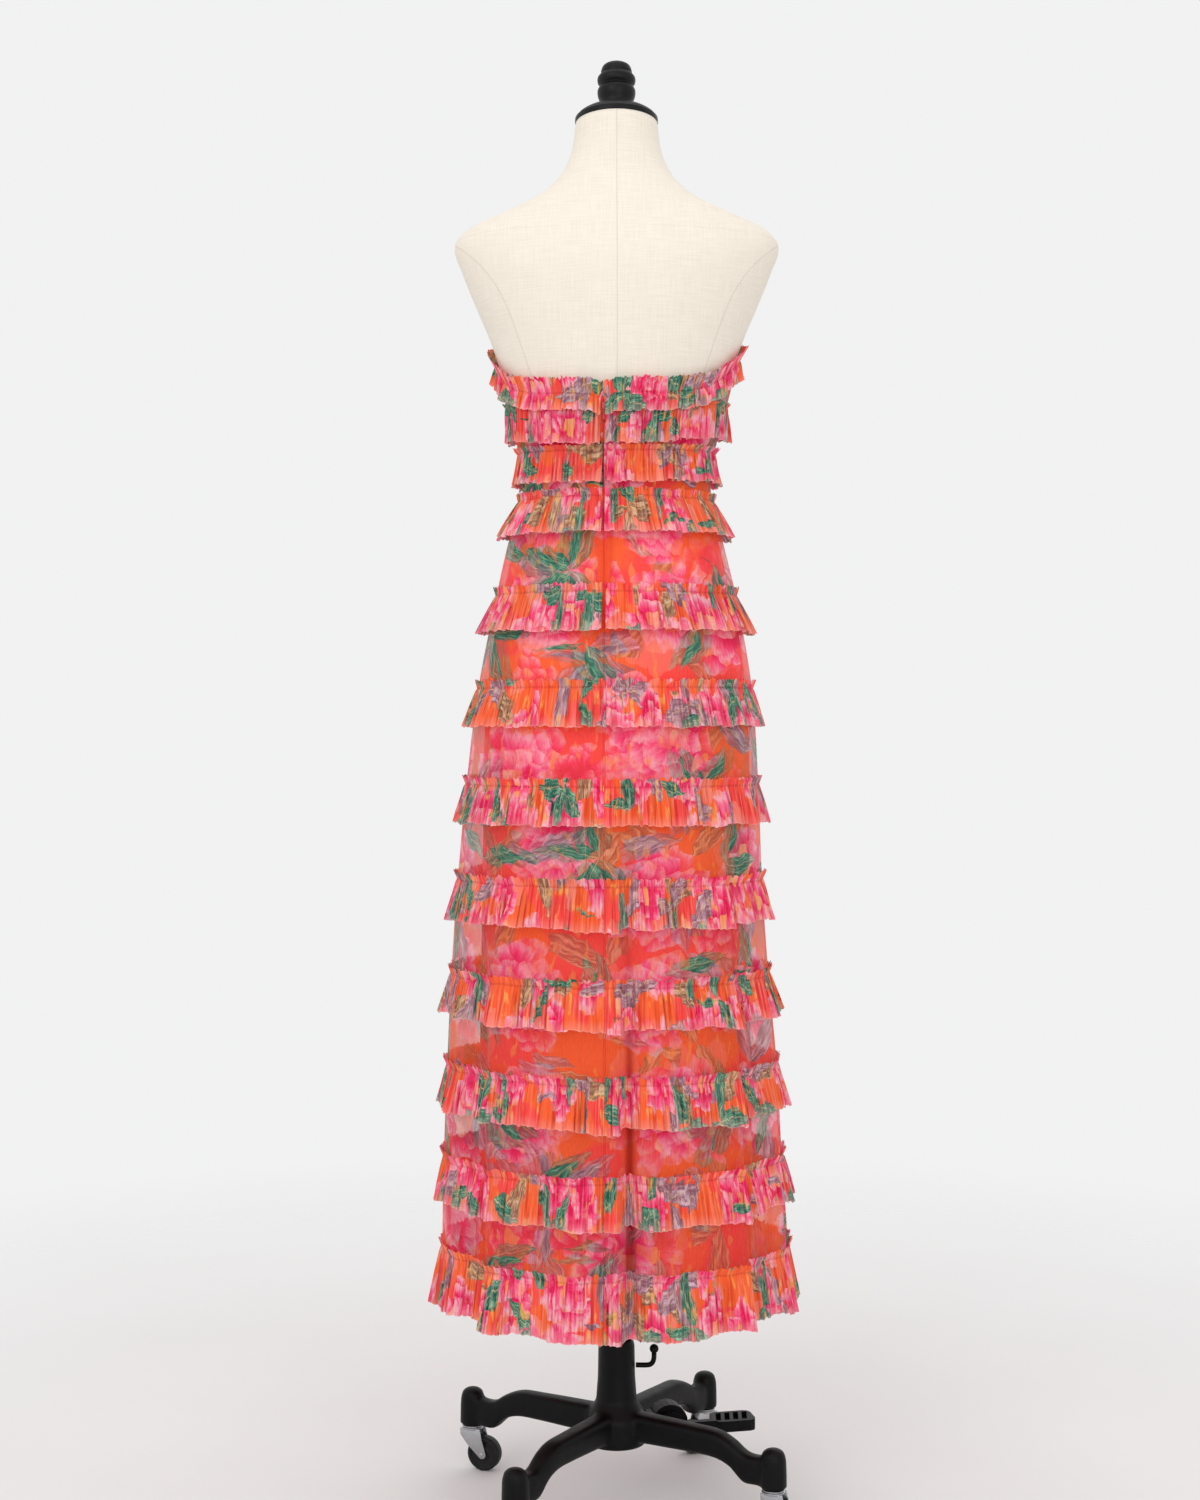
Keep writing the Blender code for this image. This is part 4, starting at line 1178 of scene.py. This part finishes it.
def turned(profile, sides, place=None, closed=False):
    """Profile of (radius, height) points turned about Z, then moved to its place."""
    bm = bmesh.new()
    points = [bm.verts.new((radius, 0.0, height)) for radius, height in profile]
    edges = [bm.edges.new(pair) for pair in zip(points, points[1:])]
    if closed:
        edges.append(bm.edges.new((points[-1], points[0])))
    bmesh.ops.spin(
        bm, geom=points + edges, axis=(0, 0, 1), cent=(0, 0, 0),
        angle=math.tau, steps=sides, use_merge=True,
    )
    bmesh.ops.remove_doubles(bm, verts=bm.verts, dist=1e-6)
    bmesh.ops.recalc_face_normals(bm, faces=bm.faces)
    soften(bm)
    if place is not None:
        bmesh.ops.transform(bm, matrix=place, verts=bm.verts)
    return bm


def soften(bm, offset=0.0006, segments=2, angle=32.0):
    """Rounds the sharp edges of a shape."""
    sharp = [
        edge for edge in bm.edges
        if len(edge.link_faces) == 2 and edge.calc_face_angle() > math.radians(angle)
    ]
    bmesh.ops.bevel(
        bm, geom=sharp, offset=offset, segments=segments, profile=0.5, affect="EDGES",
        material=-1, clamp_overlap=True,
    )


def fine_profile(profile, steps=5):
    """Profile with points on a smooth curve between its own."""
    table = tuple((float(number), *point) for number, point in enumerate(profile))
    count = (len(profile) - 1) * steps
    places = [(len(profile) - 1) * step / count for step in range(count + 1)]
    return [(max(curve_at(table, place)[1], 0.0), curve_at(table, place)[2]) for place in places]


def add_cap(black):
    """Turned neck cap and the finial that screws into it."""
    neck = Matrix.Translation((0.0, TORSO[-1].middle, NECK_TOP))
    tilt = neck @ Matrix.Rotation(NECK_TILT, 4, "X")
    cap = [(0, 0), *CAP_RIM, *fine_profile(CAP_DOME), (0, CAP_HEIGHT)]
    ready("turned_cap", turned(cap, 96, tilt), black, "form", "neck_cap")
    lower, upper, knob = (fine_profile(profile) for profile in FINIAL)
    seat = tilt @ Matrix.Translation((0, 0, CAP_HEIGHT + SEAM))
    finial = turned([(0, 0)] + lower + upper[1:] + knob, 80, seat)
    ready("turned_finial", finial, black, "form", "neck_finial")


def joined(meshes):
    """One bmesh of several."""
    whole = bmesh.new()
    for part in meshes:
        loose = mesh_of("loose", part)
        whole.from_mesh(loose)
        bpy.data.meshes.remove(loose)
    return whole


def cast(bm, voxel, rounds):
    """Welds overlapping shapes into one casting with soft inner corners."""
    mesh = mesh_of("casting", bm)
    pattern = linked("casting", mesh)
    weld = pattern.modifiers.new("Weld", "REMESH")
    weld.mode = "VOXEL"
    weld.voxel_size = voxel
    seen = pattern.evaluated_get(bpy.context.evaluated_depsgraph_get())
    welded = bmesh.new()
    welded.from_mesh(seen.to_mesh())
    seen.to_mesh_clear()
    bpy.data.objects.remove(pattern, do_unlink=True)
    bpy.data.meshes.remove(mesh)
    for _ in range(rounds):
        bmesh.ops.smooth_vert(
            welded, verts=welded.verts, factor=0.5,
            use_axis_x=True, use_axis_y=True, use_axis_z=True,
        )
    return welded


def leg_shape():
    """Arched leg along +X, from rounded rectangles."""
    bm = bmesh.new()
    rings = []
    for reach in heights_between(LEG[0].reach, LEG[-1].reach, LEG_STEPS):
        row = LegRow(*curve_at(LEG, reach))
        ring = bmesh.ops.create_circle(bm, segments=LEG_SIDES, radius=1.0, cap_ends=False)["verts"]
        middle, half = (row.top + row.bottom) / 2, (row.top - row.bottom) / 2
        for vert in ring:
            x, y = vert.co.x, vert.co.y
            across = math.copysign(abs(x) ** LEG_ROUNDING, x) * row.width / 2
            up = math.copysign(abs(y) ** LEG_ROUNDING, y) * half
            vert.co = (row.reach, across, middle + up)
        rings.append(ring)
    return bridged(bm, rings)


def leg_places():
    return [(name, LEG_TURN + math.pi / 2 * step) for step, name in enumerate("abcd")]


def add_base(iron):
    """Cast hub, legs and feet in one, with the neck that takes the tube."""
    shapes = [turned(HUB, 64)]
    for _, turn in leg_places():
        swing = Matrix.Rotation(turn, 4, "Z")
        leg = leg_shape()
        bmesh.ops.transform(leg, matrix=swing, verts=leg.verts)
        shapes.append(leg)
        shapes.append(turned(FOOT, 40, swing @ Matrix.Translation((LEG_REACH, 0, 0))))
    casting = cast(joined(shapes), voxel=0.0019, rounds=5)
    ready("cast_base", casting, iron, "stand", "stand_base")


def add_tube(iron):
    """Outer tube with the two rings of its clamping collar just over the hub."""
    profile = [(TUBE_BORE, TUBE_FOOT), (TUBE_RIM, TUBE_FOOT), (TUBE_RIM, COLLAR_FOOT)]
    profile += [(radius, ring + up) for ring in COLLAR_RINGS for radius, up in COLLAR_RING]
    profile += [(TUBE_RIM, COLLAR_TOP), (TUBE_RIM, TUBE_TOP), (TUBE_BORE, TUBE_TOP)]
    tube = turned(profile, 72, closed=True)
    ready("collared_tube", tube, iron, "stand", "outer_tube")


def swept(path, radius, sides):
    """Round rod along a path, closed at both ends."""
    bm = bmesh.new()
    rings = []
    for number, centre in enumerate(path):
        heading = (path[min(number + 1, len(path) - 1)] - path[max(number - 1, 0)]).normalized()
        place = Matrix.Translation(centre) @ heading.to_track_quat("Z", "Y").to_matrix().to_4x4()
        rings.append(bmesh.ops.create_circle(
            bm, segments=sides, radius=radius, matrix=place, cap_ends=False,
        )["verts"])
    return bridged(bm, rings)


def add_lever(iron):
    """Bent locking lever with a ball on its end."""
    last = LEVER_BENDS[-1][0]
    rows = [curve_at(LEVER_BENDS, last * step / LEVER_STEPS) for step in range(LEVER_STEPS + 1)]
    path = [Vector((x, 0.0, LEVER_HEIGHT + z)) for _, x, z in rows]
    end = Matrix.Translation((LEVER_BENDS[-1][1], 0.0, LEVER_HEIGHT + LEVER_END))
    ball = bmesh.new()
    bmesh.ops.create_uvsphere(ball, u_segments=24, v_segments=16, radius=LEVER_BALL, matrix=end)
    lever = joined([swept(path, LEVER_RADIUS, 20), ball])
    ready("bent_lever", lever, iron, "lever", "lock_lever")


def plate(outline, thickness, place):
    """Flat plate with rounded edges from an outline, moved to its place."""
    bm = bmesh.new()
    face = bm.faces.new([bm.verts.new((x, y, 0.0)) for x, y in outline])
    made = bmesh.ops.extrude_face_region(bm, geom=[face])
    lifted = [item for item in made["geom"] if isinstance(item, bmesh.types.BMVert)]
    bmesh.ops.translate(bm, vec=(0, 0, thickness), verts=lifted)
    bmesh.ops.recalc_face_normals(bm, faces=bm.faces)
    soften(bm, 0.0004, 2, 50.0)
    bmesh.ops.transform(bm, matrix=place, verts=bm.verts)
    return bm


def add_casters(steel, rubber):
    """Folded forks with riveted axles, on swivel races, and moulded wheels."""
    upright = Matrix.Rotation(math.radians(90.0), 4, "X")
    cheek = []
    for step in range(CHEEK_STEPS + 1):
        turn = math.radians(CHEEK_START + 180.0 * step / CHEEK_STEPS)
        across, up = CHEEK_FOOT * math.cos(turn), CHEEK_FOOT * math.sin(turn)
        cheek.append((CASTER_TRAIL + across, CHEEK_AXLE + up))
    cheek += CHEEK_SIDE
    half = WHEEL_WIDTH / 2
    tread = [(radius, -half + inset) for radius, inset in TREAD]
    tread += [(radius, half - inset) for radius, inset in reversed(TREAD)]
    for name, turn in leg_places():
        spot = Matrix.Rotation(turn, 4, "Z") @ Vector((LEG_REACH, 0, 0))
        swivel = Matrix.Translation(spot) @ Matrix.Rotation(math.radians(TRAILS[name]), 4, "Z")
        hub = swivel @ Matrix.Translation((CASTER_TRAIL, 0, WHEEL_HEIGHT)) @ upright
        shapes = [
            plate(cheek, CHEEK_THICKNESS, swivel @ Matrix.Translation((0, y, 0)) @ upright)
            for y in CHEEK_PLACES
        ]
        fork = joined(shapes + [turned(RACES, 48, swivel), turned(AXLE, 24, hub)])
        ready(f"folded_fork_{name}", fork, steel, f"fork_{name}", f"caster_fork_{name}")
        wheel = turned(tread, 64, hub, closed=True)
        ready(f"moulded_wheel_{name}", wheel, rubber, f"wheel_{name}",
              f"caster_wheel_{name}")


def add_tape(weave):
    """Zip's tape behind the opening."""
    reaches = [TAPE_WIDTH * share for share in (-0.5, -0.25, 0.0, 0.25, 0.5)]
    points = []
    for height in heights_between(ZIP_FOOT, neckline(math.pi) - EDGE_INSET, 80):
        point = bodice_point if height > WAIST else skirt_point
        left, middle, right = (
            point(math.pi + turn, height, TAPE_IN) for turn in (0.05, 0.0, -0.05)
        )
        across = (left - right).normalized()
        points.append([middle + across * reach for reach in reaches])
    rise = arcs([row[2] for row in points])
    places = [[(reach, up) for reach in reaches] for up in rise]
    seams = [[(1.0, 1.0, 1.0)] * len(reaches) for _ in points]
    bm = laid(points, places, seams)
    piece = ready("zip_tape_cloth", bm, weave, "form", "zip_tape")


def add_slider(enamel):
    """Zip's slider, and its pull with a narrow waist."""
    for node, body in (("zip_slider", "form"), ("zip_pull", "zip_tab")):
        low, high = (Vector(corner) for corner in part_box(node))
        size, middle = high - low, (low + high) / 2
        bm = bmesh.new()
        place = Matrix.Translation(middle) @ Matrix.Diagonal((*size, 1.0))
        bmesh.ops.create_cube(bm, size=1.0, matrix=place)
        bmesh.ops.subdivide_edges(bm, edges=bm.edges, cuts=3, use_grid_fill=True)
        for vert in bm.verts if node == "zip_pull" else ():
            share = (vert.co.z - low.z) / size.z
            narrow = 0.55 + 0.45 * math.cos(math.pi * share) ** 2
            vert.co.x = middle.x + (vert.co.x - middle.x) * narrow
        soften(bm, 0.0003, 2, 40.0)
        ready(f"{node}_enamel", bm, enamel, body, node)


def dress_nodes(finishes):
    """Materials of the solids that stay as they are."""
    for node, finish in finishes.items():
        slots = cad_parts[node].data.materials
        slots.clear()
        slots.append(finish)


# Set

def add_set():
    """Pale floor, soft lights, an even backdrop and the camera behind the dress."""
    bm = bmesh.new()
    bmesh.ops.create_grid(bm, x_segments=40, y_segments=40, size=2.6)
    floor = linked("floor", mesh_of("floor", bm))
    floor.data.materials.append(pale_floor())
    for lamp in LAMPS:
        data = bpy.data.lights.new(lamp.name, "AREA")
        data.shape = "RECTANGLE"
        data.size = data.size_y = lamp.size
        data.energy = lamp.energy
        heading = Vector(lamp.target) - Vector(lamp.place)
        item = linked(lamp.name, data)
        item.location = lamp.place
        item.rotation_euler = heading.to_track_quat("-Z", "Y").to_euler()
    world = bpy.data.worlds.new("studio")
    world.use_nodes = True
    backdrop = world.node_tree.nodes["Background"].inputs
    backdrop["Color"].default_value = BACKDROP
    backdrop["Strength"].default_value = 1.0
    lens = bpy.data.cameras.new("camera")
    lens.lens, lens.sensor_width = LENS, SENSOR
    camera = linked("camera", lens)
    camera.location = CAMERA_PLACE
    camera.rotation_euler = CAMERA_TURN
    scene = bpy.context.scene
    scene.world = world
    scene.camera = camera
    scene.view_settings.view_transform = "Standard"


def main():
    add_set()
    add_form(linen_cover())
    add_dress()
    ruffle_net = gathered_net()
    for index, ruffle in enumerate(RUFFLES):
        add_ruffle(index, ruffle, ruffle_net)
    add_tape(zip_weave())
    add_slider(hard(ENAMEL, Coat_Weight=0.3))
    add_cap(hard(SATIN, Specular_IOR_Level=0.20))
    iron = hard(IRON, Specular_IOR_Level=0.13)
    steel = hard(STEEL, Metallic=1.0)
    add_base(iron)
    add_tube(iron)
    add_lever(iron)
    add_casters(steel, hard(RUBBER, Specular_IOR_Level=0.3))
    dress_nodes({
        "torso_socket": iron, "inner_pole": steel, "pedal_housing": iron, "foot_pedal": iron,
    })


main()
